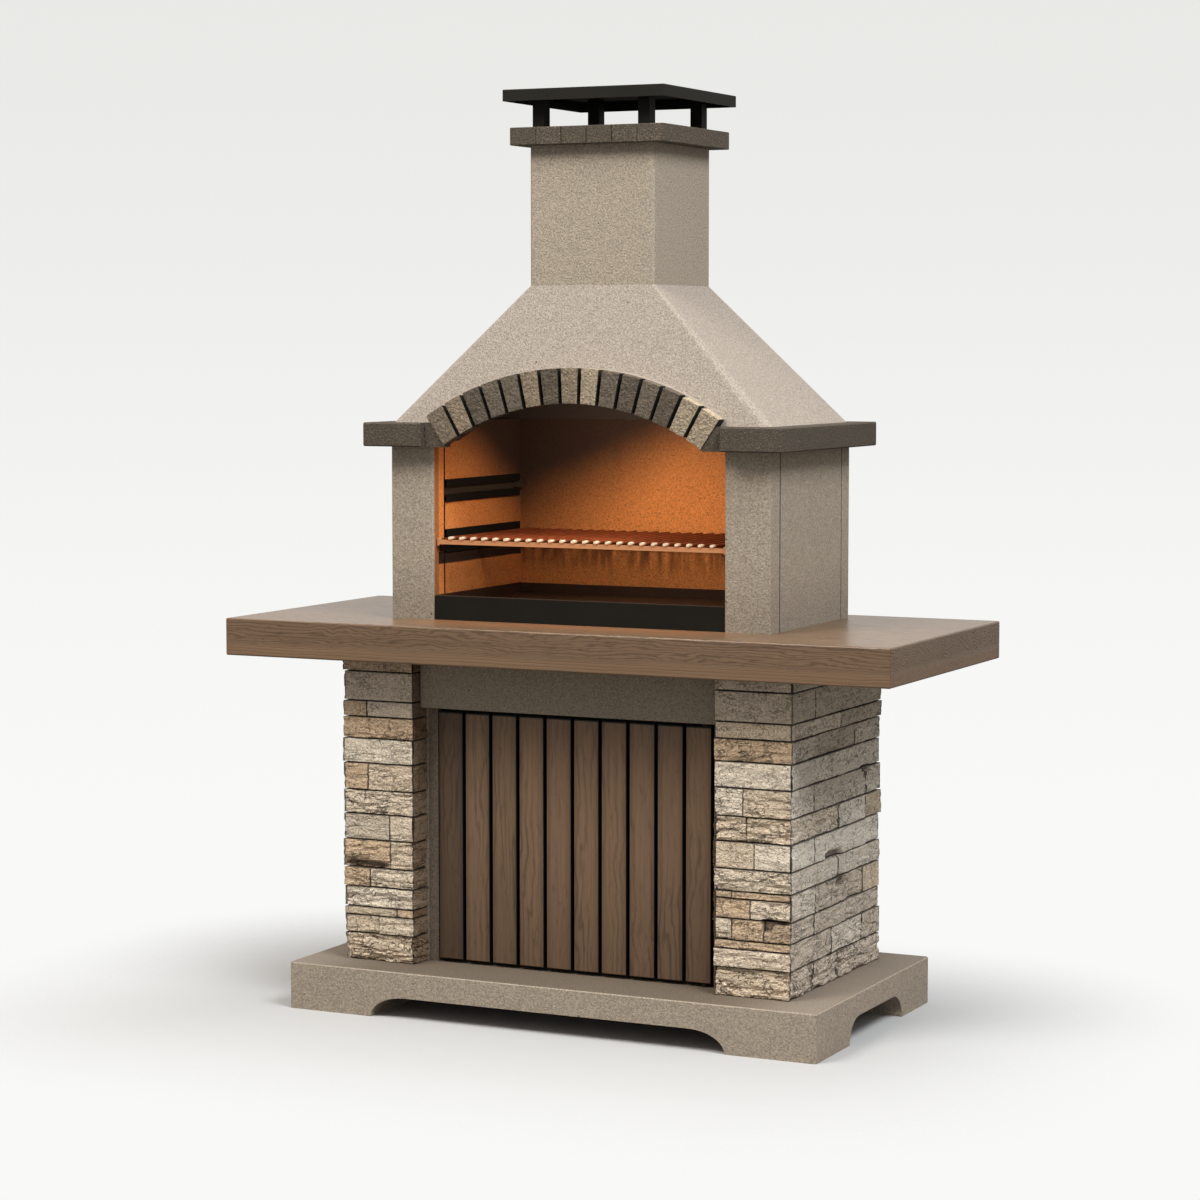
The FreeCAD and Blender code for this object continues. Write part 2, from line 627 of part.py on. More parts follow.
def right_rail(low, tongue):
    """A lipped channel in the right lining, with a stop at its rear end."""
    high = low + RAIL_HEIGHT
    run = (SIDE_LINING_FRONT, RAIL_REAR)
    outer = block((RAIL_INNER, RAIL_OUTER), run, (low, high))
    inside = (RAIL_INNER + RAIL_SHEET, RAIL_OUTER - RAIL_SHEET)
    hollow = block(inside, run, (low + RAIL_SHEET, high - RAIL_SHEET))
    slot = block((RAIL_INNER, RAIL_INNER + RAIL_SHEET), run, (low + RAIL_LIP, high - RAIL_LIP))
    rail = outer.cut([hollow, slot])
    reach, length = RAIL_STOP
    stop = block(
        (OPENING_HALF - reach, RAIL_OUTER - RAIL_SHEET),
        (RAIL_REAR - length, RAIL_REAR),
        (low + RAIL_LIP + RAIL_SHEET, high - RAIL_LIP - RAIL_SHEET),
    )
    pieces = [stop]
    if tongue:
        pieces.append(block(
            (RAIL_INNER, RAIL_INNER + RAIL_SHEET),
            (SIDE_LINING_FRONT - RAIL_TONGUE, SIDE_LINING_FRONT),
            (low + RAIL_SHEET, low + RAIL_LIP),
        ))
    return rail.fuse(pieces).removeSplitter()


def right_rail_lugs():
    """The lugs behind the right rails, two to each rail."""
    reach, length, thickness = RAIL_LUG
    lugs = []
    for low in RAIL_BOTTOMS.values():
        middle = low + RAIL_HEIGHT / 2
        for y in (SIDE_LINING_FRONT + RAIL_LUG_END, RAIL_REAR - RAIL_LUG_END):
            lugs.append(block(
                (RAIL_OUTER, RAIL_OUTER + reach),
                (y - length / 2, y + length / 2),
                (middle - thickness / 2, middle + thickness / 2),
            ))
    return lugs


def grate_half():
    return OPENING_HALF - GRATE_SIDE_CLEARANCE


def grate_bottom():
    return RAIL_BOTTOMS["lower"] + RAIL_LIP + SLIDE_GAP


def grate_run():
    front = FIREBOX_FRONT + GRATE_FRONT_INSET
    return front, RAIL_REAR - RAIL_STOP[1] - GRATE_REAR_CLEARANCE


def grate_cross_levels():
    low = grate_bottom() + GRATE_CROSS_RISE
    return low, low + GRATE_CROSS_HEIGHT


def grate_frame():
    """Two side bars that run in the rails, joined by three cross bars."""
    half = grate_half()
    front, rear = grate_run()
    low = grate_bottom()
    bars = [block((x, x + GRATE_BAR), (front, rear), (low, low + GRATE_SIDE_HEIGHT))
            for x in (-half, half - GRATE_BAR)]
    middle = (front + rear - GRATE_BAR) / 2
    bars += [block((-half, half), (y, y + GRATE_BAR), grate_cross_levels())
             for y in (front, middle, rear - GRATE_BAR)]
    return bars[0].fuse(bars[1:]).removeSplitter()


def grate_rods():
    """The cooking rods, welded on top of the cross bars."""
    front, rear = grate_run()
    span = 2 * (grate_half() - GRATE_BAR)
    pitch = span / (ROD_COUNT + 1)
    level = grate_cross_levels()[1] + ROD_RADIUS
    length = rear - front + 2 * ROD_OVERHANG
    rods = []
    for index in range(ROD_COUNT):
        start = Vector(-span / 2 + (index + 1) * pitch, front - ROD_OVERHANG, level)
        rods.append(rod(start, Vector(0, 1, 0), ROD_RADIUS, length))
    return Part.makeCompound(rods)


def ember_tray():
    """A folded steel tray whose front apron hides the hearth's edge."""
    half = OPENING_HALF - TRAY_SIDE_CLEARANCE
    front = FIREBOX_FRONT + TRAY_FRONT_INSET
    rear = REAR_LINING_FRONT - TRAY_REAR_CLEARANCE
    floor = HEARTH_TOP + SLIDE_GAP
    rim = WORKTOP_TOP + TRAY_FRONT_HEIGHT
    pan = block((-half, half), (front, rear), (floor, rim))
    inside = block(
        (-half + TRAY_SHEET, half - TRAY_SHEET),
        (front + TRAY_SHEET, rear - TRAY_SHEET),
        (floor + TRAY_SHEET, rim),
    )
    apron = block((-half, half), (front, front + TRAY_SHEET), (WORKTOP_TOP + SLIDE_GAP, rim))
    return pan.cut(inside).fuse(apron).removeSplitter()


def arch_sector(radius, y):
    """The wedge of the arch between its springings, out to a radius."""
    turn = math.degrees(ARCH_HALF_ANGLE)
    wedge = Part.makeCylinder(
        radius, y[1] - y[0], Vector(0, y[0], ARCH_CENTRE), Vector(0, 1, 0), 2 * turn)
    middle = wedge.CenterOfMass
    angle = math.degrees(math.atan2(middle.x, middle.z - ARCH_CENTRE))
    wedge.rotate(Vector(0, 0, ARCH_CENTRE), Vector(0, 1, 0), -angle)
    return wedge


def arch_ring(inner, outer, y):
    """A band of the arch between two radii."""
    hole = Part.makeCylinder(inner, y[1] - y[0], Vector(0, y[0], ARCH_CENTRE), Vector(0, 1, 0))
    return arch_sector(outer, y).cut(hole)


def arch_voussoirs():
    """The arch stones, with open joints between them and tight ends."""
    ring = arch_ring(ARCH_RADIUS, ARCH_OUTER, (VOUSSOIR_FRONT, VOUSSOIR_REAR))
    pitch = 2 * math.degrees(ARCH_HALF_ANGLE) / VOUSSOIR_COUNT
    joints = []
    for index in range(1, VOUSSOIR_COUNT):
        joint = block(
            (-VOUSSOIR_JOINT / 2, VOUSSOIR_JOINT / 2),
            (VOUSSOIR_FRONT - CUT_MARGIN, VOUSSOIR_REAR + CUT_MARGIN),
            (ARCH_CENTRE, ARCH_CENTRE + ARCH_OUTER + CUT_MARGIN),
        )
        angle = (index - VOUSSOIR_COUNT / 2) * pitch
        joint.rotate(Vector(0, 0, ARCH_CENTRE), Vector(0, 1, 0), angle)
        joints.append(joint)
    stones = ring.cut(joints).Solids
    return Part.makeCompound([
        eased(stone, VOUSSOIR_ARRIS, lambda edge: edge.BoundBox.YMax < VOUSSOIR_FRONT + SAME_PLACE)
        for stone in stones
    ])


def arch_mortar():
    """The mortar bed that the arch stones are laid on."""
    return arch_ring(RIB_RADIUS, ARCH_OUTER - MORTAR_INSET, (VOUSSOIR_REAR, FIREBOX_FRONT))


def side_mantel():
    """The right mantel: a side slab, its front block and the springer of the arch.

    Behind the arch stones the springer is cut back to a corbel that carries the hood's rib.
    """
    outer = FIREBOX_HALF + MANTEL_OVERHANG
    front = FIREBOX_FRONT - MANTEL_OVERHANG
    rear = FIREBOX_REAR + MANTEL_OVERHANG
    springer = front + SPRINGER_SETBACK
    block_end = OPENING_HALF + MANTEL_BLOCK_INSET
    outline = [
        (0, springer),
        (block_end, springer),
        (block_end, front),
        (outer, front),
        (outer, rear),
        (PANEL_INNER, rear),
        (PANEL_INNER, PILLAR_REAR),
        (0, PILLAR_REAR),
    ]
    slab = prism(outline, (FIREBOX_TOP, MANTEL_TOP))

    def outside(edge):
        box = edge.BoundBox
        return box.XMin > outer - SAME_PLACE or box.YMax < front + SAME_PLACE

    slab = eased(slab, ARRIS, outside)
    under_rib = flat_face([
        Vector(0, FIREBOX_FRONT, FIREBOX_TOP),
        Vector(OPENING_HALF, FIREBOX_FRONT, FIREBOX_TOP),
        Vector(0, FIREBOX_FRONT, FIREBOX_TOP + OPENING_HALF),
    ]).extrude(Vector(0, PILLAR_DEPTH, 0))
    arch = arch_sector(2 * ARCH_OUTER, (springer - CUT_MARGIN, PILLAR_REAR + CUT_MARGIN))
    return slab.cut([arch, under_rib])


def rear_mantel():
    rear = FIREBOX_REAR + MANTEL_OVERHANG
    slab = block((-PANEL_INNER, PANEL_INNER), (REAR_WALL_FRONT, rear), (FIREBOX_TOP, MANTEL_TOP))
    return eased(slab, ARRIS, lambda edge: edge.BoundBox.YMin > rear - SAME_PLACE)


def hood():
    """A hollow tapering hood with an arched front, cast with the rib of its arch."""
    outer = frustum(
        rounded_outline(FIREBOX_HALF, FIREBOX_DEPTH / 2, HOOD_BASE_ROUND, MANTEL_TOP),
        rounded_outline(CHIMNEY_WIDTH / 2, CHIMNEY_DEPTH / 2, CHIMNEY_ROUND, HOOD_TOP),
    )
    inside_half_x = FIREBOX_HALF - HOOD_WALL_SIDE
    inside_half_y = FIREBOX_DEPTH / 2 - HOOD_WALL_FACE
    inside = frustum(
        rounded_outline(inside_half_x, inside_half_y, CHIMNEY_ROUND, MANTEL_TOP),
        rounded_outline(FLUE_HALF_X, FLUE_HALF_Y, CHIMNEY_ROUND, HOOD_TOP),
    )
    rib = arch_ring(RIB_RADIUS, ARCH_OUTER, (FIREBOX_FRONT, PILLAR_REAR))
    opening = arch_sector(RIB_RADIUS, (FIREBOX_FRONT - CUT_MARGIN, PILLAR_REAR + HOOD_WALL_FACE))
    return outer.cut(inside).fuse(rib).cut(opening).removeSplitter()


def chimney():
    height = Vector(0, 0, CHIMNEY_HEIGHT)
    outer = rounded_outline(CHIMNEY_WIDTH / 2, CHIMNEY_DEPTH / 2, CHIMNEY_ROUND, HOOD_TOP)
    flue = rounded_outline(FLUE_HALF_X, FLUE_HALF_Y, CHIMNEY_ROUND, HOOD_TOP)
    return flat_face(outer).extrude(height).cut(flat_face(flue).extrude(height))


def collar_side():
    y = (STACK_CENTRE - COLLAR_HALF_Y, STACK_CENTRE + COLLAR_HALF_Y)
    slab = block((FLUE_HALF_X, COLLAR_HALF_X), y, (CHIMNEY_TOP, COLLAR_TOP))
    return eased(slab, ARRIS / 2)


def collar_rear():
    y = (STACK_CENTRE + FLUE_HALF_Y, STACK_CENTRE + COLLAR_HALF_Y)
    return eased(block((-FLUE_HALF_X, FLUE_HALF_X), y, (CHIMNEY_TOP, COLLAR_TOP)), ARRIS / 2)


def collar_bricks():
    """The row of bricks along the collar's front, which meet behind their raked joints."""
    pitch = 2 * FLUE_HALF_X / COLLAR_BRICKS
    front, rear = STACK_CENTRE - COLLAR_HALF_Y, STACK_CENTRE - FLUE_HALF_Y
    z = (CHIMNEY_TOP, COLLAR_TOP)
    bricks = []
    for index in range(COLLAR_BRICKS):
        left = -FLUE_HALF_X + index * pitch
        head = block((left, left + pitch), (front, rear), z)
        joints = [
            block((x - COLLAR_JOINT / 2, x + COLLAR_JOINT / 2), (front - CUT_MARGIN, front + COLLAR_RAKE), z)
            for x in (left, left + pitch)
        ]
        brick = head.cut(joints)
        bricks.append(eased(brick, ARRIS / 2, lambda edge: edge.BoundBox.YMax < front + SAME_PLACE))
    return Part.makeCompound(bricks)


def cowl_posts():
    """Four square posts that carry the lid from inside its skirt."""
    half = POST_SIDE / 2
    spread_x = CHIMNEY_WIDTH / 2 - POST_INSET_SIDE
    spread_y = CHIMNEY_DEPTH / 2 - POST_INSET_FACE
    levels = (COLLAR_TOP, LID_UNDER + LID_SKIRT - LID_SHEET)
    return Part.makeCompound([
        block((x - half, x + half), (y - half, y + half), levels)
        for x in (-spread_x, spread_x)
        for y in (STACK_CENTRE - spread_y, STACK_CENTRE + spread_y)
    ])


def cowl_lid():
    """A folded sheet lid with a skirt all round."""
    x = (-LID_HALF_X, LID_HALF_X)
    y = (STACK_CENTRE - LID_HALF_Y, STACK_CENTRE + LID_HALF_Y)
    z = (LID_UNDER, LID_UNDER + LID_SKIRT)
    lid = block(x, y, z)
    inside = block(
        (x[0] + LID_SHEET, x[1] - LID_SHEET),
        (y[0] + LID_SHEET, y[1] - LID_SHEET),
        (z[0], z[1] - LID_SHEET),
    )
    lid = eased(lid, LID_SHEET / 2, lambda edge: upright(edge) or edge.BoundBox.ZMin > LID_UNDER + CUT_MARGIN)
    return lid.cut(inside)


def pair(name, shape):
    """The left and right pieces of a mirrored pair."""
    return {"left_" + name: mirrored(shape), "right_" + name: shape}


def all_pieces():
    pieces = {"plinth": plinth()}
    pieces.update(pair("pier_core", pier_core()))
    pieces["right_pier_stones"] = pier_stones(RIGHT_COURSES)
    pieces["left_pier_stones"] = mirrored(pier_stones(LEFT_COURSES))
    pieces["lintel"] = lintel()
    pieces.update(pair("jamb", jamb()))
    pieces["bay_rear_panel"] = bay_rear_panel()

    pieces["door_board"] = door_board()
    for index in range(SLAT_COUNT):
        pieces["door_slat_%02d" % (index + 1)] = door_slat(index)
    pieces["slat_nails"] = Part.makeCompound(all_slat_nails())
    pieces["door_pivot_pins"] = pivot_pins()
    pieces["door_pivot_bushes"] = pivot_bushes()
    pieces["strike_plate"] = strike_plate()
    pieces["catch_magnet"] = catch_magnet()

    pieces["worktop"] = worktop()
    pieces["hearth_slab"] = hearth_slab()
    pieces.update(pair("front_pillar", front_pillar()))
    pieces.update(pair("side_panel", side_panel()))
    pieces.update(pair("rear_post", rear_post()))
    pieces["rear_wall"] = rear_wall()
    pieces.update(pair("jamb_lining", jamb_lining()))
    pieces.update(pair("side_lining", side_lining()))
    pieces["rear_lining"] = rear_lining()

    for level, low in RAIL_BOTTOMS.items():
        pieces.update(pair(level + "_rail", right_rail(low, tongue=level == "lower")))
    right_lugs = right_rail_lugs()
    pieces["rail_lugs"] = Part.makeCompound(right_lugs + [mirrored(lug) for lug in right_lugs])
    pieces["grate_frame"] = grate_frame()
    pieces["grate_rods"] = grate_rods()
    pieces["ember_tray"] = ember_tray()

    pieces.update(pair("mantel", side_mantel()))
    pieces["rear_mantel"] = rear_mantel()
    pieces["hood"] = hood()
    pieces["arch_mortar"] = arch_mortar()
    pieces["arch_voussoirs"] = arch_voussoirs()
    pieces["chimney"] = chimney()
    pieces.update(pair("collar_slab", collar_side()))
    pieces["rear_collar_slab"] = collar_rear()
    pieces["collar_bricks"] = collar_bricks()
    pieces["cowl_posts"] = cowl_posts()
    pieces["cowl_lid"] = cowl_lid()
    return pieces


for name, shape in all_pieces().items():
    shape.exportStep("parts/%s.step" % name)
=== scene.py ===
import json
import math
from collections import defaultdict

import bmesh
import bpy
import numpy as np
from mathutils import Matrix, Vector


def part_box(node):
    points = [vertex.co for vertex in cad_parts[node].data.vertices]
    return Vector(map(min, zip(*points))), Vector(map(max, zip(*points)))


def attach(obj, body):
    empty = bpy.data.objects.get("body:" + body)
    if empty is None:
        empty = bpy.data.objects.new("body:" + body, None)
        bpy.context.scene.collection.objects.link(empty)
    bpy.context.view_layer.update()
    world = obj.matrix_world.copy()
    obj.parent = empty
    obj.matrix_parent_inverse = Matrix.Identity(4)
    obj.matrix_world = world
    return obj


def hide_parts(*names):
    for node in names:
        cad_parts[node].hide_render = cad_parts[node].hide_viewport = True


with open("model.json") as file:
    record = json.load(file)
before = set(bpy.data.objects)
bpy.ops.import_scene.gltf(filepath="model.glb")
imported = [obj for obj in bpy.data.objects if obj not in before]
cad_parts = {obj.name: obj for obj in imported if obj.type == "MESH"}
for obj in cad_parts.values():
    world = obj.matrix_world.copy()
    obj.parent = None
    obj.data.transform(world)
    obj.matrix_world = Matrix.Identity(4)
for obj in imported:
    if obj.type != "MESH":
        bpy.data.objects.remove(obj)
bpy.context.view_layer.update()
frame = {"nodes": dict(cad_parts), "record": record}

PARTS = frame["nodes"]

# Stone sizes, in metres
STONE_CELL = 0.0036  # mesh cell on a pier stone's face
ARCH_CELL = 0.0023  # mesh cell on an arch stone
FACING_DEPTH = 0.038  # from a pier stone's face to the core behind it
SKIN = 0.0075  # vertices this near a pier's face belong to that face
SHORTEST_RUN = 0.012  # a stone shows a face if it runs further than this along it
CLOSER = 0.0011  # how much closer the hewn stones stand than the CAD's plain ones
MITRE = 0.012  # a stone that ends this near a corner is mitred there
CORNER_ROUND = 0.008  # this near a corner, a stone is hewn partly from its other face too
CORNER_RIM = 0.0025  # a corner that a stone goes round wears like a place this far from its edge
SKIRT = (0.05, 0.14, 1.0)  # rows of a stone's edge, as shares of its depth
SKIRT_SHADE = (0.55, 0.75, 1.0)  # how dark those rows are on a pier stone, of a joint's darkness
LINE_WIDTH = 0.0014  # width of the dark line that a pier stone has beside each joint
BED_LINE = 0.8  # how dark that line is, of a joint's darkness
SIDE_LINE = 0.9  # the same at the upright joints of a pier's side
CORNER_LINE = 0.7  # the same along a corner that a stone goes round
UNDERSIDE_SHADE = 0.55  # how far the arch stones' undersides are darkened as painted shade, of a joint's darkness
EDGE_FALL = -320.0  # how fast the wear of a stone's edge falls off inwards, per metre
FOOT_FALL = -95.0  # the same for the wear of its foot
JOG_FALL = -260.0  # the same for the waviness of its edge
RIGHT_NUMBERS = 100.0  # the right pier's stones are numbered from here, the left pier's from 0
ARCH_NUMBERS = 300.0  # the arch stones are numbered from here
WELD = 1e-5  # points of a CAD mesh this near each other are one point
TOUCH = 1e-4  # lengths up to this count as none
ARC_SLACK = 0.002  # points this near one of the arch's arcs lie on it

# Places of stains, soot and painted shade, in metres: where each begins and where it is full
DARKENING_HEIGHT = 0.16  # how far up from their foot the walls round the firebox are darker
TOP_SHADE_ENDS = (0.40, 0.66)  # across the plinth's top, whose painted shade from the worktop is lighter towards its ends
SOOT_AND_SHADE_SLANT = (1.13, 1.40)  # up the rear lining, where the soot and painted shade slant to the left
SOOT_AND_SHADE_TOP = (1.07, 1.42)  # the thinner soot and painted shade on the whole rear lining
SOOT_AND_SHADE_SIDE = (1.14, 1.39)  # up the side linings, for their soot and painted shade
GRATE_SHADE = (1.085, 1.045)  # down the linings, which have painted shade below the grate
ROD_SHADOWS_END = (0.97, 1.03)  # up the painted shadows of the grate's rods below it
FRONT_STRIP = (-0.150, -0.160)  # towards the front edge of the jamb linings, which is darker
SLAT_FOOT = (0.45, 0.10)  # down the door's slats


class Wire:
    """One output in a node tree. Sums of wires make the maths nodes."""

    def __init__(self, tree, socket):
        self.tree = tree
        self.socket = socket

    def node(self, kind, settings=None, inputs=None, output=0):
        """Any other node: its settings first, then its inputs as values or wires."""
        return new_node(self.tree, kind, settings, inputs, output)

    def maths(self, operation, *others):
        return self.node("ShaderNodeMath", {"operation": operation}, dict(enumerate((self,) + others)))

    def __add__(self, other):
        return self.maths("ADD", other)

    def __sub__(self, other):
        return self.maths("SUBTRACT", other)

    def __mul__(self, other):
        return self.maths("MULTIPLY", other)

    def __truediv__(self, other):
        return self.maths("DIVIDE", other)

    def __rsub__(self, other):
        return self * -1 + other

    def __rtruediv__(self, other):
        return self.maths("POWER", -1.0) * other

    def __abs__(self):
        return self.maths("ABSOLUTE")

    __radd__ = __add__
    __rmul__ = __mul__

    def vector_maths(self, operation, other):
        return self.node("ShaderNodeVectorMath", {"operation": operation}, {0: self, 1: other})

    def stretched(self, x, y, z):
        return self.vector_maths("MULTIPLY", (x, y, z))

    def shifted(self, other):
        return self.vector_maths("ADD", other)

    def axis(self, name):
        return self.node("ShaderNodeSeparateXYZ", {}, {0: self}, name)

    def axes(self):
        """Its x, y and z."""
        return [Wire(self.tree, socket) for socket in self.axis("X").socket.node.outputs]

    def joined(self, x, y, z):
        """A vector of three wires or values."""
        return self.node("ShaderNodeCombineXYZ", {}, {0: x, 1: y, 2: z})

    def noise(self, scale, detail=2.0, roughness=0.5, distortion=0.0):
        """Smooth noise about 0.5 at this coordinate, with a scale per metre."""
        inputs = {"Vector": self, "Scale": scale, "Detail": detail, "Roughness": roughness}
        return self.node("ShaderNodeTexNoise", {}, {**inputs, "Distortion": distortion})

    def cells(self, scale):
        """Distance to the nearest of scattered points."""
        return self.node("ShaderNodeTexVoronoi", {}, {"Vector": self, "Scale": scale}, "Distance")

    def rise(self, low, high):
        """0 below low, 1 above high and a soft slope between; low may be the larger."""
        settings = {"interpolation_type": "SMOOTHSTEP"}
        return self.node("ShaderNodeMapRange", settings, {0: self, 1: low, 2: high})

    def blend(self, first, second):
        """The first colour where this is 0 and the second where it is 1."""
        settings = {"data_type": "RGBA"}
        return self.node("ShaderNodeMix", settings, {0: self, 6: first, 7: second}, 2)

    def stained(self, share, red, green, blue):
        """This colour, giving way to another one where share is 1."""
        return share.blend(self, linear(red, green, blue))

    def lit(self, brightness):
        """This colour made brighter or darker by a wire about 1."""
        return self.vector_maths("MULTIPLY", self.joined(brightness, brightness, brightness))


def new_node(tree, kind, settings=None, inputs=None, output=0):
    """A node in a tree, as the wire from one of its outputs."""
    node = tree.nodes.new(kind)
    for name, value in (settings or {}).items():
        setattr(node, name, value)
    for name, value in (inputs or {}).items():
        if isinstance(value, Wire):
            tree.links.new(value.socket, node.inputs[name])
        else:
            node.inputs[name].default_value = value
    return Wire(tree, node.outputs[output] if len(node.outputs) else None)


def linear(red, green, blue):
    """A colour given in screen values, as the renderer's linear values."""
    shares = [value / 255 for value in (red, green, blue)]
    return tuple(s / 12.92 if s <= 0.04045 else ((s + 0.055) / 1.055) ** 2.4 for s in shares) + (1.0,)


class Finish:
    """A material whose wires start at the object's own coordinates."""

    def __init__(self, name, roughness=0.8, metallic=0.0):
        self.material = bpy.data.materials.new(name)
        self.material.use_nodes = True
        self.tree = self.material.node_tree
        self.shader = self.tree.nodes["Principled BSDF"]
        self.shader.inputs["Roughness"].default_value = roughness
        self.shader.inputs["Metallic"].default_value = metallic
        self.shader.inputs["Specular IOR Level"].default_value = 0.35
        self.place = new_node(self.tree, "ShaderNodeTexCoord", output="Object")

    def colour(self, screen):
        """A plain colour, given in screen values."""
        wire = new_node(self.tree, "ShaderNodeRGB")
        wire.socket.default_value = linear(*screen)
        return wire

    def attribute(self, name, output):
        return new_node(self.tree, "ShaderNodeAttribute", {"attribute_name": name}, {}, output)

    def done(self, colour, bumps=None, distance=0.0, strength=1.0, **wires):
        """Wires the colour, the bumps and any other inputs into the shader, and gives the material."""
        if bumps:
            inputs = {"Height": bumps, "Distance": distance, "Strength": strength}
            wires["Normal"] = bumps.node("ShaderNodeBump", {}, inputs)
        for name, wire in {"Base Color": colour, **wires}.items():
            self.tree.links.new(wire.socket, self.shader.inputs[name])
        return self.material


def cast_concrete(name, colour=(162, 148, 130), soot_and_shade=None, joints=(), top=None, foot=None):
    """Warm grey cast concrete: a pebbled skin of sand grains, small dark grit and a few air holes.

    Each joint is a dark line on the walls' outsides. A top has painted shade from the worktop above,
    lighter towards its ends, and the walls are darker towards a foot.
    """
    finish = Finish(name, roughness=0.92)
    place = finish.place
    x, y, z = place.axes()
    pebbles = place.noise(250, 2.0, 0.8)
    sand = place.noise(620, 1.0)
    cloud = place.noise(2.6, 2.0)
    grit = place.noise(260, 1.0).rise(0.60, 0.70)
    holes = place.cells(16).rise(0.050, 0.030)
    shade = pebbles * 1.76 + sand * 0.34 + cloud * 0.10 - 0.10
    toned = finish.colour(colour).lit(shade)
    toned = toned.stained(grit * 0.36, 84, 76, 66)
    toned = toned.stained(holes * 0.7, 52, 46, 40)
    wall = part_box("right_side_panel")[1].x
    for joint in joints:
        line = abs(y - joint).rise(0.0036, 0.0016)
        outside = abs(x).rise(wall - 0.0037, wall - 0.0012)
        toned = toned.stained(line * outside * 0.75, 48, 42, 36)
    if foot:
        # The walls are darker towards their foot
        low_darkening = z.rise(foot + DARKENING_HEIGHT, foot)
        toned = toned.lit(1.0 - low_darkening * 0.22)
    if top:
        # Painted shade from the worktop above on the top, lighter towards its ends
        shaded_top = z.rise(top - 0.0012, top - 0.0004)
        ends = abs(x).rise(*TOP_SHADE_ENDS)
        top_shade = ends.blend(linear(86, 72, 57), linear(136, 123, 108))
        toned = (shaded_top * 0.8).blend(toned, top_shade.lit(0.6 + pebbles * 0.5 + cloud * 0.3))
    if soot_and_shade:
        # Soot and painted shade
        toned = toned.stained(soot_and_shade(place), 62, 48, 38)
    return finish.done(toned, pebbles * 0.8 + sand * 0.3 - holes * 0.8, 0.0022)


def hood_soot_and_shade(place):
    """1 on the hood's inside, where smoke has blackened it and shade is painted, and 0 outside."""
    low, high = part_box("hood")
    flue_low, flue_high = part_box("chimney")
    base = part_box("right_mantel")[1].z
    side_wall, front_wall = 0.030, 0.020
    depth, flue_depth = high.y - low.y, flue_high.y - flue_low.y
    x, y, z = place.axes()
    rise = (z - base) / (high.z - base)
    half_x = high.x - side_wall + rise * (flue_high.x - high.x)
    half_y = depth / 2 - front_wall + rise * (flue_depth - depth) * 0.5
    beyond_x = abs(x) - half_x
    beyond_y = abs(y - (low.y + high.y) / 2) - half_y
    return beyond_x.maths("MAXIMUM", beyond_y).rise(0.004, -0.004)


def bedding(bed):
    """Where split stone breaks along its beds: broad shelves and small terraces, each after its noise."""
    shelf = bed.noise(0.45, 1.0, 0.5, 0.4)
    flakes = bed.noise(1.0, 2.0, 0.55, 0.5)
    return shelf, shelf.maths("SNAP", 0.15), flakes, flakes.maths("SNAP", 0.12)


def ledge_stone():
    """Split ledge stone: each stone's own tint, fine grain, rust, painted shadow under its ledges and
    painted shade in its recesses and chips.
    """
    finish = Finish("ledge_stone", roughness=0.94)
    place = finish.place
    x, y, z = place.axes()
    tint = finish.attribute("tint", "Color")
    hollow_shade = finish.attribute("hollow_shade", "Fac")
    rough = finish.attribute("rough", "Fac")
    shelf, shelves, flakes, terrace = bedding(finish.attribute("bed", "Vector"))
    streaks = place.stretched(14, 14, 80).noise(1.0, 3.0, 0.6)
    patches = place.noise(26, 3.0, 0.6)
    grain = place.noise(260, 2.0, 0.8)
    pits = place.noise(230, 2.0, 0.6).rise(0.57, 0.66)
    crumbs = place.noise(130, 3.0, 0.7)
    slant = place.joined(y + z, x * 0.3, (z - y) * 0.1)
    chisel = slant.noise(110, 3.0, 0.65)
    rust = place.stretched(18, 18, 50).noise(1.0, 3.0, 0.55).rise(0.54, 0.74)
    # Painted shadow below each ledge and shelf of the split face
    ledge = 1.0 - (flakes - terrace).rise(0.0, 0.016)
    step = 1.0 - (shelf - shelves).rise(0.0, 0.012)
    veins = place.stretched(1.0, 1.0, 1.7).noise(38, 3.0, 0.6, 0.6)
    scratch = abs(veins - 0.5).rise(0.034, 0.008) * patches.rise(0.44, 0.56)
    shade = streaks * 0.28 + patches * 0.30 + grain * 1.40 + crumbs * 0.50 + chisel * 0.24 - 0.16
    colour = tint.lit(shade)
    colour = colour.stained(pits * 0.30, 90, 73, 56)
    colour = colour.stained(rust * 0.30, 158, 124, 90)
    colour = colour.stained(scratch * (0.34 + rough * 0.5), 66, 52, 39)
    colour = colour.stained(ledge * rough.rise(0.1, 0.8) * 0.62, 62, 49, 37)
    colour = colour.stained(step * rough.rise(0.1, 0.6) * 0.70, 52, 41, 31)
    # Painted shade in the recesses
    colour = colour.stained(hollow_shade.rise(0.25, 0.95) * 0.42, 70, 56, 43)
    # Painted shade where the edges are broken away
    colour = colour.stained(finish.attribute("chip", "Fac").rise(0.2, 0.9) * 0.5, 62, 51, 41)
    colour = colour.stained(finish.attribute("seam", "Fac") * 0.97, 14, 11, 9)
    beds = (terrace * 0.7 + flakes * 0.3 + shelves) * rough * -2.4
    height = grain * 0.8 + crumbs * 0.9 + chisel * 0.5 - pits * 0.3 - scratch * 0.5 + beds
    return finish.done(colour, height, 0.0044)


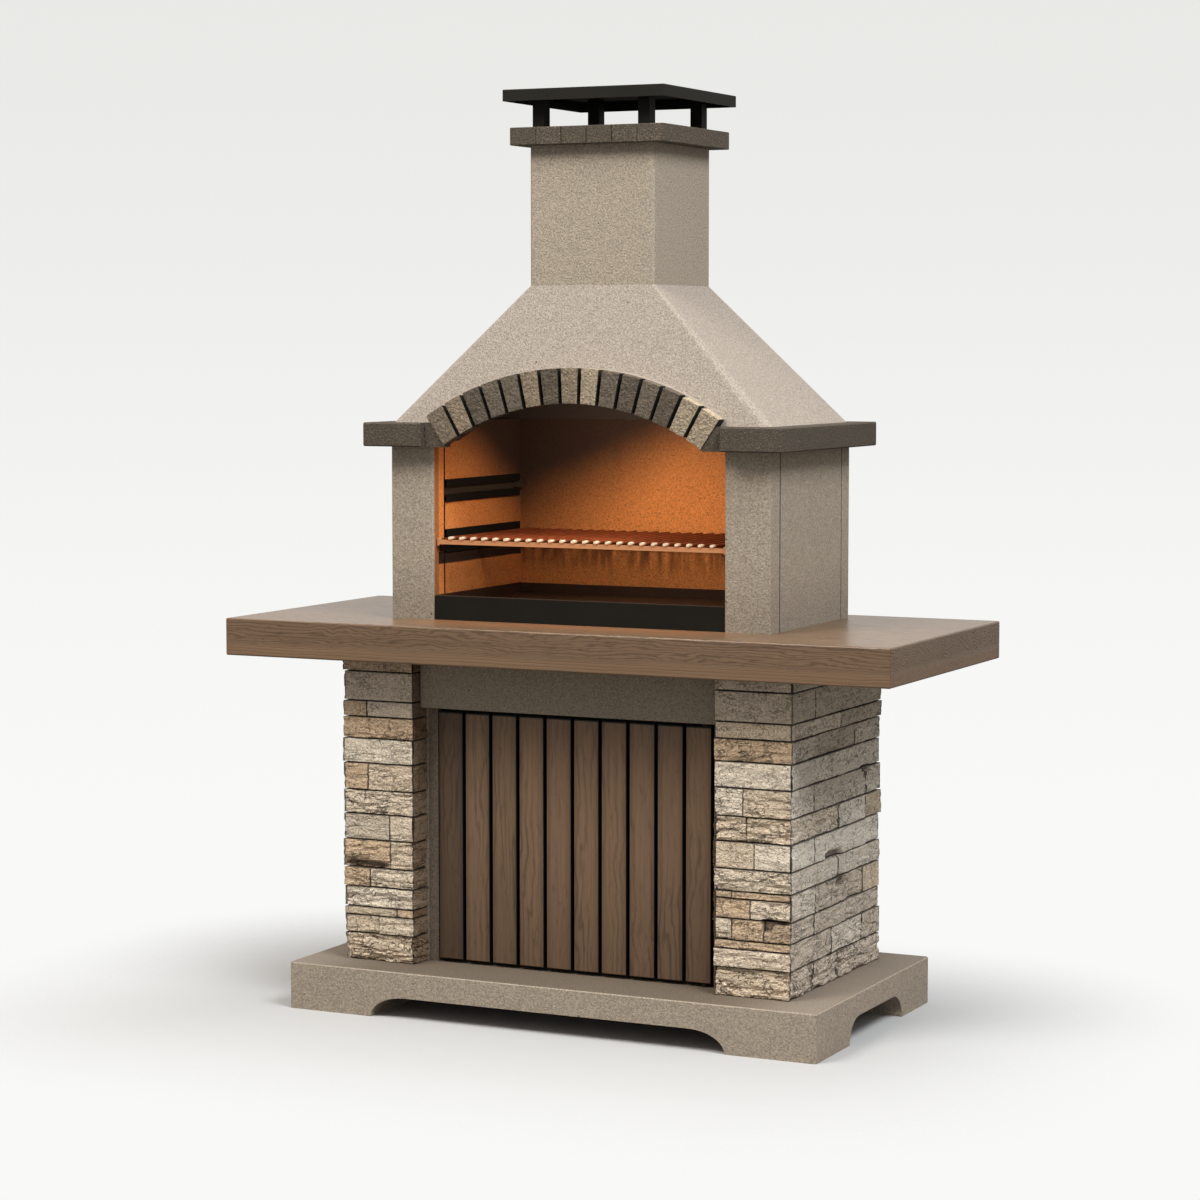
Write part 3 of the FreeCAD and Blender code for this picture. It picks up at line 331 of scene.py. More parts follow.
def arch_stone():
    """The arch stones' finish: their own tint, coarse light grains, streaks across the arch and painted
    shade in their recesses.
    """
    finish = Finish("arch_stone", roughness=0.92)
    place = finish.place
    tint = finish.attribute("tint", "Color")
    hollow_shade = finish.attribute("hollow_shade", "Fac")
    grains = place.noise(230, 2.0, 0.8)
    crumbs = place.noise(150, 2.0, 0.6)
    streaks = place.stretched(170, 170, 14).noise(1.0, 2.0, 0.6)
    colour = tint.lit((grains * 2.30 + streaks * 0.50 + crumbs * 0.80 - 0.80).maths("MAXIMUM", 0.15))
    # Painted shade in the recesses
    colour = colour.stained(hollow_shade.rise(0.5, 1.0) * 0.5, 38, 31, 24)
    colour = colour.stained(finish.attribute("seam", "Fac") * 0.94, 12, 10, 8)
    return finish.done(colour, grains * 0.6 + crumbs, 0.0045)


def dark_stone():
    """Grainy dark stone of the mantel and the chimney's collar, whose outer bricks have light flecks."""
    finish = Finish("dark_stone", roughness=0.9)
    place = finish.place
    grains = place.noise(230, 3.0, 0.7)
    cloud = place.noise(9, 2.0)
    across = place.axis("X")
    bricks_low, bricks_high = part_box("collar_bricks")
    collar = place.axis("Z").rise(bricks_low.z - 0.001, bricks_low.z)
    half = bricks_high.x / 2
    right_bricks = across.rise(half - 0.001, half)
    left_bricks = across.rise(-half * 2, 0.001 - half * 2) * across.rise(-half, -half - 0.001)
    light_flecks = place.noise(240, 1.0).rise(0.56, 0.66) * (right_bricks + left_bricks) * collar
    flecks = place.noise(310, 1.0).rise(0.58, 0.72) + light_flecks
    shade = grains * 1.66 + cloud * 0.28
    colour = (flecks * 0.34).blend(finish.colour((81, 71, 59)).lit(shade), linear(150, 134, 112))
    return finish.done(colour, grains, 0.0050, 0.9)


def firebrick():
    """Orange refractory lining, speckled, sooted and darkened by painted shade towards the hood, with
    painted shadow under the lower rails and below the grate.
    """
    finish = Finish("firebrick", roughness=0.9)
    place = finish.place
    x, y, z = place.axes()
    grains = place.noise(260, 2.0, 0.8)
    cloud = place.noise(6, 3.0)
    specks = place.noise(210, 2.0).rise(0.56, 0.68)
    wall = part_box("rear_lining")[0].y
    rear = y.rise(wall - 0.0008, wall - 0.0002)
    level = z + (cloud - 0.5) * 0.06
    # Soot and painted shade: upwards, and on the rear lining slanting to the left
    slanting_soot_and_shade = (level - (x - 0.05) * 0.45).rise(*SOOT_AND_SHADE_SLANT)
    rear_soot_and_shade = slanting_soot_and_shade.maths("MAXIMUM", level.rise(*SOOT_AND_SHADE_TOP) * 0.78)
    side_soot_and_shade = (level + y * 0.60).rise(*SOOT_AND_SHADE_SIDE)
    soot_and_shade = side_soot_and_shade + (rear_soot_and_shade - side_soot_and_shade) * rear
    strip = y.rise(*FRONT_STRIP)
    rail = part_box("right_lower_rail")[0]
    # A painted shadow below the lower rails, on the side linings
    below = rail.z - z + (cloud - 0.5) * 0.006
    rail_shadow = below.rise(0.029, 0.025) * below.rise(-0.002, 0.0) * y.rise(rail.y - 0.001, rail.y)
    slot = (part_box("right_jamb_lining")[1].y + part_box("right_side_lining")[0].y) / 2
    gap = abs(y - slot).rise(0.0036, 0.0026)
    # Painted shade below the grate, with painted shadows of its rods on the rear lining
    streaks = place.stretched(70, 1, 9).noise(1.0, 1.0).rise(0.32, 0.68) * z.rise(*ROD_SHADOWS_END)
    under = z.rise(*GRATE_SHADE) * (0.20 + streaks * rear * 0.45)
    colour = finish.colour((235, 142, 71)).lit((0.28 + grains * 1.16 + cloud * 0.26) * (1.0 - under))
    colour = colour.stained(specks * 0.45, 122, 62, 28)
    colour = colour.stained(strip * 0.60, 106, 60, 34)
    colour = colour.stained(soot_and_shade * 0.96, 26, 18, 13)
    colour = colour.stained(rail_shadow * (1.0 - rear) * 0.95, 17, 12, 9)
    colour = colour.stained(gap, 14, 10, 8)
    return finish.done(colour, grains, 0.0020, 0.7)


def dark_mortar():
    """Nearly black mortar between and behind the stones."""
    finish = Finish("dark_mortar", roughness=0.95)
    grains = finish.place.noise(300, 2.0)
    return finish.done(grains.blend(linear(9, 7, 6), linear(22, 18, 15)))


def black_steel(name, lit_bands=(), browned_behind=None, lightness=1.0):
    """Matt black heat-proof paint, lighter brown between some heights as painted light, or browned behind
    a plane.

    The last argument makes it lighter all over.
    """
    finish = Finish(name, roughness=0.55)
    finish.shader.inputs["Specular IOR Level"].default_value = 0.1
    place = finish.place
    cloud = place.noise(12, 3.0)
    grain = place.noise(500, 1.0)
    colour = cloud.blend(linear(21, 19, 15), linear(30, 28, 23))
    # Painted light: each band is lighter brown, as a highlight along an edge or a lit slot
    for low, high in lit_bands:
        height = place.axis("Z")
        band = height.rise(low - 0.0006, low + 0.0006) * height.rise(high + 0.0006, high - 0.0006)
        colour = colour.stained(band * 0.8, 74, 60, 48)
    if browned_behind:
        inside = place.axis("Y").rise(browned_behind, browned_behind + 0.0006)
        colour = colour.stained(inside * (0.6 + cloud * 0.4), 66, 45, 31)
    speckled = colour.lit((0.85 + grain * 0.3) * lightness)
    return finish.done(speckled, grain, 0.0004, 0.5, Roughness=0.50 + cloud * 0.25)


def grate_steel():
    """Heat-tinted bare steel; the rods have painted highlights where they lie on the front bar."""
    finish = Finish("grate_steel", roughness=0.4, metallic=0.25)
    place = finish.place
    front_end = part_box("grate_rods")[0].y
    frame_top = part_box("grate_frame")[1].z
    tint = place.stretched(9, 30, 9).noise(1.0, 3.0)
    colour = tint.blend(linear(80, 36, 19), linear(166, 80, 42))
    # Painted highlights on the rods' front ends, brightest on their tops
    front = place.axis("Y").rise(front_end + 0.024, front_end + 0.008)
    rods = place.axis("Z").rise(frame_top - 0.0015, frame_top + 0.0005)
    colour = colour.stained(front * (1.0 - rods), 206, 140, 94)
    colour = colour.stained(front * rods, 250, 226, 190)
    return finish.done(colour, Roughness=0.3 + tint * 0.3)


def grain_lines(across, spacing, sway):
    """Thin dark growth lines, about 1 on a line: their rhythm runs across and sways."""
    wave = (across * (2 * math.pi / spacing) + sway).maths("SINE") * 0.5 + 0.5
    return wave.maths("POWER", 3.0)


def worktop_timber():
    """Brown timber: fine swirling lines above, a plainer band below, and a painted reflection of the fire
    before the firebox.
    """
    finish = Finish("worktop_timber", roughness=0.38)
    place = finish.place
    x, y, z = place.axes()
    low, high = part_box("worktop")
    height = (z - low.z) / (high.z - low.z)
    upper = height.rise(0.26, 0.44)
    swirl = place.stretched(4.5, 13.0, 20.0).noise(1.0, 3.0, 0.55, 0.9)
    knots = (place.stretched(3.4, 10.0, 15.0).cells(1.0) * -9.0).maths("EXPONENT")
    lines = grain_lines(z + y * 0.45, 0.0075, (swirl * 40.0 + knots * 30.0) * (0.25 + upper * 0.75))
    fibres = place.stretched(6.0, 300.0, 300.0).noise(1.0, 2.0, 0.6)
    boards = place.stretched(0.8, 6.0, 6.0).noise(1.0, 2.0)
    flecks = place.stretched(26.0, 90.0, 110.0).noise(1.0, 3.0, 0.7, 0.8).rise(0.53, 0.68)
    streaks = place.stretched(1.4, 70.0, 70.0).noise(1.0, 3.0, 0.6)
    colour = upper.blend(linear(124, 97, 73), linear(120, 95, 72))
    colour = colour.stained(lines * (0.12 + upper * 0.38), 66, 48, 34)
    colour = colour.stained(flecks * (0.10 + upper * 0.26), 62, 46, 33)
    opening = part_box("right_jamb_lining")[0].x
    aside = abs(x).rise(opening + 0.10, opening - 0.06)
    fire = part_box("right_front_pillar")[1].y
    before_fire = y.rise(low.y, low.y + 0.14) * y.rise(fire, fire - 0.02)
    # A painted reflection of the fire on the top, before the firebox
    fire_reflection = aside * height.rise(0.985, 0.995) * before_fire
    colour = colour.stained(fire_reflection * 0.30, 178, 110, 62)
    end_grain = x.rise(high.x - 0.003, high.x - 0.001)
    shade = 0.48 + fibres * 0.30 + boards * 0.30 + streaks * 0.46
    colour = colour.lit(shade * (1.0 - end_grain * 0.12))
    return finish.done(colour, fibres * 0.5 - lines * 0.5, 0.0005, 0.6, Roughness=0.20 + fibres * 0.22)


def slat_timber():
    """Brown upright slats, each cut from another board, with dark edges, the first one darkened as
    painted shadow, and sides and top edges painted black as shade.
    """
    finish = Finish("slat_timber", roughness=0.55)
    place = finish.place
    first_low, first_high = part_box("door_slat_01")
    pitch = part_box("door_slat_02")[0].x - first_low.x
    wide = first_high.x - first_low.x
    step = (place.axis("X") - first_low.x + (pitch - wide) / 2) / pitch
    board = step.maths("FLOOR")
    off_middle = abs(step - board - 0.5) * (2 * pitch / wide)
    apart = board.joined(board * 0.37, board * 0.61, board * 1.73)
    spot = place.shifted(apart)
    swirl = spot.stretched(16.0, 16.0, 4.0).noise(1.0, 3.0, 0.55, 0.8)
    lines = grain_lines(spot.axis("X"), 0.015, swirl * 26.0)
    fibres = spot.stretched(300.0, 300.0, 6.0).noise(1.0, 2.0, 0.6)
    figured = spot.stretched(14.0, 14.0, 3.0).noise(1.0, 2.0).rise(0.40, 0.62)
    flecks = spot.stretched(120.0, 120.0, 20.0).noise(1.0, 3.0, 0.7, 0.6).rise(0.54, 0.70)
    tone = apart.noise(3.0, 0.0)
    colour = (lines * (0.12 + figured * 0.44)).blend(finish.colour((120, 94, 71)), linear(70, 53, 40))
    colour = colour.stained(flecks * 0.40, 74, 56, 42)
    foot = place.axis("Z").rise(*SLAT_FOOT)
    # The first slat is darkened as painted shadow of the left pier
    first = board.rise(0.6, 0.4)
    shade = (1.06 - off_middle.rise(0.45, 1.0) * 0.30) * (1.0 - foot * 0.25) * (1.0 - first * 0.50)
    colour = colour.lit((0.58 + fibres * 0.60 + tone * 0.28) * shade)
    # The slats' sides, seen in the gaps, and their top edges are painted black as shade
    top_edge_shade = place.axis("Z").rise(first_high.z - 0.0045, first_high.z - 0.0035)
    colour = colour.stained(off_middle.rise(0.965, 0.985).maths("MAXIMUM", top_edge_shade), 8, 7, 6)
    return finish.done(colour, fibres * 0.5 - lines * 0.5, 0.0005, 0.6, Roughness=0.45 + fibres * 0.25)


def black_board():
    """The black-stained board behind the door's slats."""
    finish = Finish("black_board", roughness=0.8)
    fibres = finish.place.stretched(300, 300, 6).noise(1.0, 2.0)
    return finish.done(fibres.blend(linear(9, 8, 7), linear(20, 18, 16)))


def bare_metal(name, colour, roughness):
    """Small plain metal pieces with a slightly uneven sheen."""
    finish = Finish(name, roughness=roughness, metallic=0.9)
    cloud = finish.place.noise(60, 2.0)
    toned = finish.colour(colour).lit(0.85 + cloud * 0.3)
    return finish.done(toned, Roughness=roughness - 0.1 + cloud * 0.2)


def hewing_tree():
    """Geometry nodes that turn smooth stones into split ones.

    The mesh brings the direction out of each face, how far a point is from the stone's edge and
    foot, how freely it may move, how far it is broken away and how rough its stone is.
    """
    tree = bpy.data.node_groups.new("hewn_stones", "GeometryNodeTree")
    lengths = ("Relief", "Ledge Length", "Ledge Height", "Edge Wear", "Foot Wear", "Edge Jog")
    sockets = [("Stones", "INPUT", "NodeSocketGeometry")]
    sockets += [(name, "INPUT", "NodeSocketFloat") for name in lengths]
    sockets += [("Finish", "INPUT", "NodeSocketMaterial"), ("Stones", "OUTPUT", "NodeSocketGeometry")]
    for name, way, kind in sockets:
        tree.interface.new_socket(name=name, in_out=way, socket_type=kind)
    group = tree.nodes.new("NodeGroupInput")
    given = {socket.name: Wire(tree, socket) for socket in group.outputs if socket.name}

    def named(name, kind="FLOAT"):
        settings = {"data_type": kind}
        return new_node(tree, "GeometryNodeInputNamedAttribute", settings, {"Name": name})

    outward = named("outward", "FLOAT_VECTOR")
    stone, rim, foot, free, rough, chip = map(named, ("stone", "rim", "foot", "free", "rough", "chip"))
    # Each stone takes its noise from another place
    place = new_node(tree, "GeometryNodeInputPosition")
    apart = stone.joined(stone * 0.731, stone * 0.467, stone * 0.913)
    spot = place.shifted(apart)
    flat_scale = 1.0 / given["Ledge Length"]
    scale = stone.joined(flat_scale, flat_scale, 1.0 / given["Ledge Height"])
    layered = spot.vector_maths("MULTIPLY", scale)
    _, shelves, flakes, terrace = bedding(layered)
    chips = spot.noise(165, 3.0, 0.7)
    cut = (shelves - 0.32) * 1.3 + (terrace * 0.7 + flakes * 0.3 - 0.42) * 1.1 + (chips - 0.5) * 0.14
    depth = given["Relief"] * rough * cut.maths("MAXIMUM", 0.0)
    nibbled = spot.noise(70, 3.0, 0.6) * 1.5
    wear = given["Edge Wear"] * (rim * EDGE_FALL).maths("EXPONENT") * nibbled * (0.45 + rough * 0.75)
    broken = spot.stretched(1.0, 1.0, 0.3).noise(24, 3.0, 0.6).rise(0.40, 0.72)
    toe = given["Foot Wear"] * (foot * FOOT_FALL).maths("EXPONENT") * broken * (0.1 + rough * rough)
    bite = given["Relief"] * 0.75 * (chip * (0.5 + spot.noise(60, 3.0, 0.6))).rise(0.25, 0.75)
    sink = (depth + wear + toe + bite) * free
    jog = (spot.noise(36, 2.0, 0.6) - 0.5) * 2.0 * given["Edge Jog"] * (rim * JOG_FALL).maths("EXPONENT")
    upward = stone.joined(0.0, 0.0, jog * free)
    scaled = {"operation": "SCALE"}
    inward = outward.node("ShaderNodeVectorMath", scaled, {0: outward, "Scale": sink * -1.0})

    def stored(stones, name, kind, value):
        """The stones with a value at every point, for their finish."""
        settings = {"data_type": kind, "domain": "POINT"}
        inputs = {"Geometry": stones, "Name": name, "Value": value}
        return stones.node("GeometryNodeStoreNamedAttribute", settings, inputs)

    stones = stored(given["Stones"], "bed", "FLOAT_VECTOR", layered)
    # How deep each point is hewn, for the painted shade in the recesses
    stones = stored(stones, "hollow_shade", "FLOAT", sink / given["Relief"])
    stones = stones.node("GeometryNodeSetPosition", {}, {0: stones, "Offset": inward.shifted(upward)})
    stones = stones.node("GeometryNodeRealizeInstances", {}, {0: stones})
    stones = stones.node("GeometryNodeSetMaterial", {}, {0: stones, "Material": given["Finish"]})
    output = tree.nodes.new("NodeGroupOutput")
    tree.links.new(stones.socket, output.inputs[0])
    return tree


def hewn(body, tree, **values):
    """Runs the hewing tree on a mesh and keeps its result as a plain mesh."""
    modifier = body.modifiers.new("hewing", "NODES")
    modifier.node_group = tree
    for socket in tree.interface.items_tree:
        key = socket.name.replace(" ", "_").lower()
        if socket.in_out == "INPUT" and key in values:
            modifier[socket.identifier] = values[key]
    bpy.context.view_layer.update()
    graph = bpy.context.evaluated_depsgraph_get()
    mesh = bpy.data.meshes.new_from_object(body.evaluated_get(graph), depsgraph=graph)
    body.modifiers.remove(modifier)
    body.data = mesh


def solids_of(node):
    """The points of each separate solid of a CAD node."""
    form = bmesh.new()
    form.from_mesh(PARTS[node].data)
    bmesh.ops.remove_doubles(form, verts=form.verts[:], dist=WELD)
    seen = set()
    solids = []
    for start in form.verts:
        if start in seen:
            continue
        seen.add(start)
        group, queue = [], [start]
        while queue:
            vert = queue.pop()
            group.append(tuple(vert.co))
            fresh = [edge.other_vert(vert) for edge in vert.link_edges]
            fresh = [other for other in fresh if other not in seen]
            seen.update(fresh)
            queue.extend(fresh)
        solids.append(np.array(group))
    form.free()
    return solids


# Tones of the pier stones, in screen values. Cool, pale and dull are the sides' tones, chosen row by row
# as painted light and shade: mostly lighter than the fronts', against the worktop's shade on the sides
TONES = {
    "light": (234, 217, 194),
    "cream": (227, 207, 181),
    "beige": (222, 200, 172),
    "tan": (211, 182, 149),
    "brown": (192, 166, 137),
    "grey": (206, 188, 166),
    "cool": (226, 212, 193),
    "pale": (243, 230, 211),
    "dull": (206, 190, 170),
}

# Each course from the bottom up: how rough its front is, the tones of the stones on its front,
# from the bay outwards, and of those on its side and rear. The last tone serves for all the rest.
RIGHT_COURSES = (
    (1.00, "beige", "dull"),
    (0.40, "cream", "dull cool dull"),
    (0.45, "tan", "beige"),
    (0.55, "cream tan brown", "dull dull dull beige"),
    (0.50, "tan cream", "cool dull dull beige"),
    (0.35, "brown tan", "cool"),
    (0.85, "cream", "cool"),
    (0.20, "beige light", "pale"),
    (0.90, "beige", "light pale beige light"),
    (0.60, "light beige", "pale cool pale cool"),
    (0.30, "light", "pale pale light"),
    (0.70, "tan", "cool dull cool"),
    (0.25, "beige", "light dull"),
    (0.20, "grey", "dull"),
    (0.15, "grey", "dull"),
)
LEFT_COURSES = (
    (1.00, "beige", "pale dull pale cool"),
    (0.40, "cream beige", "cool pale cool"),
    (0.35, "tan beige", "cool"),
    (0.70, "light", "dull cool pale"),
    (0.55, "cream tan", "pale cool dull"),
    (0.70, "beige tan", "beige pale cool dull"),
    (0.35, "cream grey", "cool pale beige"),
    (0.85, "cream", "pale dull cool"),
    (0.50, "beige tan", "cool beige pale"),
    (0.35, "light", "pale cool dull"),
    (0.60, "tan", "dull pale cool"),
    (0.25, "grey brown", "cool dull pale"),
    (0.20, "grey", "dull cool dull"),
    (0.15, "brown", "cool dull cool"),
)
# How rough the stones of the sides and rears are, in turn
SIDE_ROUGHNESS = (0.15, 0.25, 0.35, 0.45, 0.55, 0.65)
# Broken edges of the right and the left pier: the face, where along it, at which height,
# half its length and half its height
CHIPS = {
    1: (
        (2, 0.249, 0.396, 0.052, 0.012), (2, 0.300, 0.330, 0.034, 0.016), (2, 0.455, 0.566, 0.030, 0.008),
        (1, 0.130, 0.268, 0.014, 0.014), (1, 0.150, 0.279, 0.036, 0.006),
    ),
    -1: ((1, 0.128, 0.334, 0.062, 0.009),),
}
RETURN_SHADE = (0.34, 0.29, 0.24, 1.0)  # painted shade: the returns into the bay are this much darker and browner


class PierFaces:
    """The plan of one pier's facing, seen as if it were the right-hand pier."""

    def __init__(self, side):
        low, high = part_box("right_pier_stones")
        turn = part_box("right_jamb")[0].y
        self.side = side
        self.corners = np.array([
            (low.x, turn), (low.x, low.y), (high.x, low.y), (high.x, high.y), (low.x, high.y),
        ])
        steps = np.diff(self.corners, axis=0)
        self.lengths = np.linalg.norm(steps, axis=1)
        self.along = steps / self.lengths[:, None]
        self.out = np.stack([self.along[:, 1], -self.along[:, 0]], axis=1)

    def runs_of(self, points):
        """The faces that a stone shows: (face, from, to) each, and how far it lies back."""
        flat = points[:, :2] * (self.side, 1)
        runs, backs = [], []
        for face in range(len(self.lengths)):
            from_corner = flat - self.corners[face]
            back = -(from_corner @ self.out[face])
            along = from_corner @ self.along[face]
            near = (back < SKIN) & (along > -TOUCH) & (along < self.lengths[face] + TOUCH)
            if near.any() and np.ptp(along[near]) > SHORTEST_RUN:
                runs.append((face, along[near].min(), along[near].max()))
                backs.append(back[near].min())
        return runs, min(backs)

    def columns(self, runs, back):
        """Plan points of a stone's columns: outer, inner, direction out, distance from its ends, face."""
        outer, inner, out, rim, faces = [], [], [], [], []
        total = sum(end - start for face, start, end in runs)
        done = 0.0
        for number, (face, start, end) in enumerate(runs):
            length = self.lengths[face]
            first, last = number == 0, number + 1 == len(runs)
            turns_before = not first or (start < MITRE and face > 0)
            turns_after = not last or (length - end < MITRE and face + 1 < len(self.lengths))
            start_outer = start - (0 if turns_before else CLOSER) if first else back
            end_outer = end + (0 if turns_after else CLOSER) if last else length - back
            start_inner = start_outer + (FACING_DEPTH - back if turns_before else 0)
            end_inner = end_outer - (FACING_DEPTH - back if turns_after else 0)
            count = max(2, round((end - start) / STONE_CELL))
            thin = LINE_WIDTH / (end - start)
            shares = np.insert(np.linspace(0, 1, count + 1), (1, count), (thin, 1 - thin))
            shares = shares if first else shares[1:]
            spots = (start_outer + shares * (end_outer - start_outer))[:, None]
            deeps = (start_inner + shares * (end_inner - start_inner))[:, None]
            outer.append(self.corners[face] - self.out[face] * back + self.along[face] * spots)
            inner.append(self.corners[face] - self.out[face] * FACING_DEPTH + self.along[face] * deeps)
            ways = np.tile(self.out[face], (len(shares), 1))
            reach = done + shares * (end - start)
            ends = [reach, total - reach]
            after = (not last, face + 1, end_outer - spots)
            before = (not first, face - 1, spots - start_outer)
            for turns, other, gap in (after, before):
                if turns:
                    ways = ways + self.out[other] * np.maximum(0.0, 1 - gap / CORNER_ROUND)
                    ends.append(gap[:, 0] + CORNER_RIM)
            out.append(ways / np.linalg.norm(ways, axis=1, keepdims=True))
            rim.append(np.min(ends, axis=0))
            faces.append(np.full(len(shares), face))
            done += end - start
        return [np.concatenate(column) for column in (outer, inner, out, rim, faces)]


class StoneHeap:
    """Gathers the meshes of many stones, each a fine face with edges that run back to a plain rear."""

    def __init__(self):
        self.points, self.faces = [], []
        self.values = defaultdict(list)

    def add(self, front, back, out, rim, line, chip, tints, seam_all_round, **stone):
        """A stone from two grids of points, bottom row first, with its number and roughness.

        The line is how dark each point of its face is, as next to a joint, and chip is how far
        it is broken away. Its edges are dark as joints all round, or at its sides only, with painted
        shade on its underside.
        """
        tall, wide = rim.shape
        foot = np.minimum.accumulate(np.linalg.norm(front - front[:1], axis=2)[::-1])[::-1]

        def put(rows, columns, share, **values):
            """Points at a share of the stone's depth, with their values; gives their numbers."""
            first = len(self.points)
            self.points += (front[rows, columns] * (1 - share) + back[rows, columns] * share).tolist()
            for key, grid in (("outward", out), ("foot", foot), ("chip", chip), ("tint", tints)):
                self.values[key] += grid[rows, columns].tolist()
            for key, value in {"free": 1.0 - share, **values, **stone}.items():
                self.values[key] += np.broadcast_to(value, len(rows)).tolist()
            return first + np.arange(len(rows))

        def around(grid):
            """A grid's edge: its bottom row, right edge, top row and left edge."""
            return np.concatenate([grid[0], grid[1:-1, -1], grid[-1, ::-1], grid[-2:0:-1, 0]])

        places = np.indices((tall, wide))
        grid = put(*places.reshape(2, -1), 0.0, rim=rim.ravel(), seam=line.ravel()).reshape(tall, wide)
        corners = [grid[:-1, :-1], grid[:-1, 1:], grid[1:, 1:], grid[1:, :-1]]
        self.faces += np.stack(corners, axis=2).reshape(-1, 4).tolist()
        rows, columns = map(around, places)
        ring = around(grid)
        seam = np.ones(len(rows))
        if not seam_all_round:
            at_side = (columns == 0) | (columns == wide - 1)
            # Dark as joints at the sides, with painted shade on the underside
            seam = np.where(at_side, 1.0, np.where(rows == 0, UNDERSIDE_SHADE, 0.0))
        for share, shade in zip(SKIRT, SKIRT_SHADE if seam_all_round else np.ones(len(SKIRT))):
            deeper = put(rows, columns, share, rim=0.0, seam=seam * shade)
            skirt = [ring, deeper, np.roll(deeper, -1), np.roll(ring, -1)]
            self.faces += np.stack(skirt, axis=1).tolist()
            ring = deeper
        edges = np.split(ring, np.cumsum((wide, tall - 2, wide)))
        low_row, right_edge, high_row, left_edge = (edge.tolist() for edge in edges)
        high_row.reverse()
        for column in range(wide - 1):
            left = left_edge[::-1] if column == 0 else ()
            right = right_edge[::-1] if column == wide - 2 else ()
            self.faces.append([low_row[column], *left, high_row[column], high_row[column + 1], *right,
                               low_row[column + 1]])

    def body(self, name, mirrored=False):
        """All the stones as one object."""
        side = -1 if mirrored else 1
        mesh = bpy.data.meshes.new(name)
        faces = [face[::side] for face in self.faces]
        mesh.from_pydata([(x * side, y, z) for x, y, z in self.points], [], faces)
        self.values["outward"] = [(x * side, y, z) for x, y, z in self.values["outward"]]
        kinds = {"tint": ("FLOAT_COLOR", "color"), "outward": ("FLOAT_VECTOR", "vector")}
        for key, data in self.values.items():
            kind, field = kinds.get(key, ("FLOAT", "value"))
            flat = np.asarray(data, dtype=np.float32).ravel()
            mesh.attributes.new(key, kind, "POINT").data.foreach_set(field, flat)
        body = bpy.data.objects.new(name, mesh)
        bpy.context.scene.collection.objects.link(body)
        return body


def picked_tone(tones, count):
    """The linear colour of a stone, from its course's list of tones."""
    names = tones.split()
    return np.array(linear(*TONES[names[min(count, len(names) - 1)]]))


def broken_away(plan, outer, levels, faces):
    """How far each point of a stone's face is broken away."""
    chip = np.zeros((len(levels), len(outer)))
    for face, along, level, half_length, half_height in CHIPS[plan.side]:
        reach = ((outer - plan.corners[face]) @ plan.along[face] - along) / half_length
        rise = (levels - level) / half_height
        chip += np.exp(-reach ** 4)[None] * np.exp(-rise ** 2)[:, None] * (faces == face)[None]
    return chip


def joint_lines(faces, tall):
    """How dark each point of a stone's face is, beside the joints and along the corners."""
    line = np.zeros((tall, len(faces)))
    for corner in np.flatnonzero(np.diff(faces)):
        line[:, corner - 1:corner + 2] = CORNER_LINE
    line[[0, -1]] = BED_LINE
    line[:, [0, -1]] = SIDE_LINE if 2 in faces else BED_LINE
    return line


def pier_facing(node, side, course_looks, tree, finish):
    """All stones of one pier, hewn, in place of its CAD node."""
    plan = PierFaces(side)
    heap = StoneHeap()
    found = []
    for solid in solids_of(node):
        runs, back = plan.runs_of(solid)
        found.append((round(float(solid[:, 2].min()), 3), runs, back, solid))
    found.sort(key=lambda stone: (stone[0], stone[1][0][:2]))
    courses = sorted({stone[0] for stone in found})
    front_count, side_count = [0] * len(courses), [0] * len(courses)
    for index, (bottom, runs, back, solid) in enumerate(found):
        course = courses.index(bottom)
        low, high = solid[:, 2].min() - CLOSER / 2, solid[:, 2].max() + CLOSER / 2
        levels = np.linspace(low, high, max(3, round((high - low) / STONE_CELL) + 1))
        levels = np.insert(levels, (1, len(levels) - 1), (low + LINE_WIDTH, high - LINE_WIDTH))
        outer, inner, out, rim, faces = plan.columns(runs, back)
        tall, wide = len(levels), len(outer)
        heights = np.repeat(levels[:, None, None], wide, axis=1)
        spread = (tall, wide, 2)
        front = np.concatenate([np.broadcast_to(outer, spread), heights], axis=2)
        rear = np.concatenate([np.broadcast_to(inner, spread), heights], axis=2)
        ways = np.concatenate([np.broadcast_to(out, spread), heights * 0], axis=2)
        edge = np.minimum(rim[None], np.minimum(levels - low, high - levels)[:, None])
        front_rough, front_tones, side_tones = course_looks[course]
        side_rough = SIDE_ROUGHNESS[index % len(SIDE_ROUGHNESS)]
        rough = front_rough if faces.min() < 2 or course == 0 else side_rough
        front_tint = picked_tone(front_tones, front_count[course])
        side_tint = picked_tone(side_tones, side_count[course])
        front_count[course] += int(1 in faces)
        side_count[course] += int(faces.max() > 1)
        tints = np.where(faces[:, None] < 2, front_tint, side_tint)
        # Painted shade on the returns into the bay
        tints = np.where(faces[:, None] < 1, tints * RETURN_SHADE, tints)
        tints = np.broadcast_to(tints, (tall, wide, 4))
        chip = broken_away(plan, outer, levels, faces)
        number = index + (RIGHT_NUMBERS if side > 0 else 0.0)
        line = joint_lines(faces, tall)
        heap.add(front, rear, ways, edge, line, chip, tints, True, stone=number, rough=rough)
    body = heap.body(node + "_hewn", mirrored=side < 0)
    hewn(body, tree, relief=0.0150, ledge_length=0.055, ledge_height=0.012, edge_wear=0.0013,
         foot_wear=0.0070, edge_jog=0.0008, finish=finish)
    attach(body, "masonry")
    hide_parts(node)


# Tones of the arch stones, in screen values
ARCH_TONES = {
    "straw": (154, 138, 115),
    "sand": (131, 115, 94),
    "ash": (116, 102, 85),
    "slate": (99, 88, 74),
    "dark": (88, 77, 64),
}
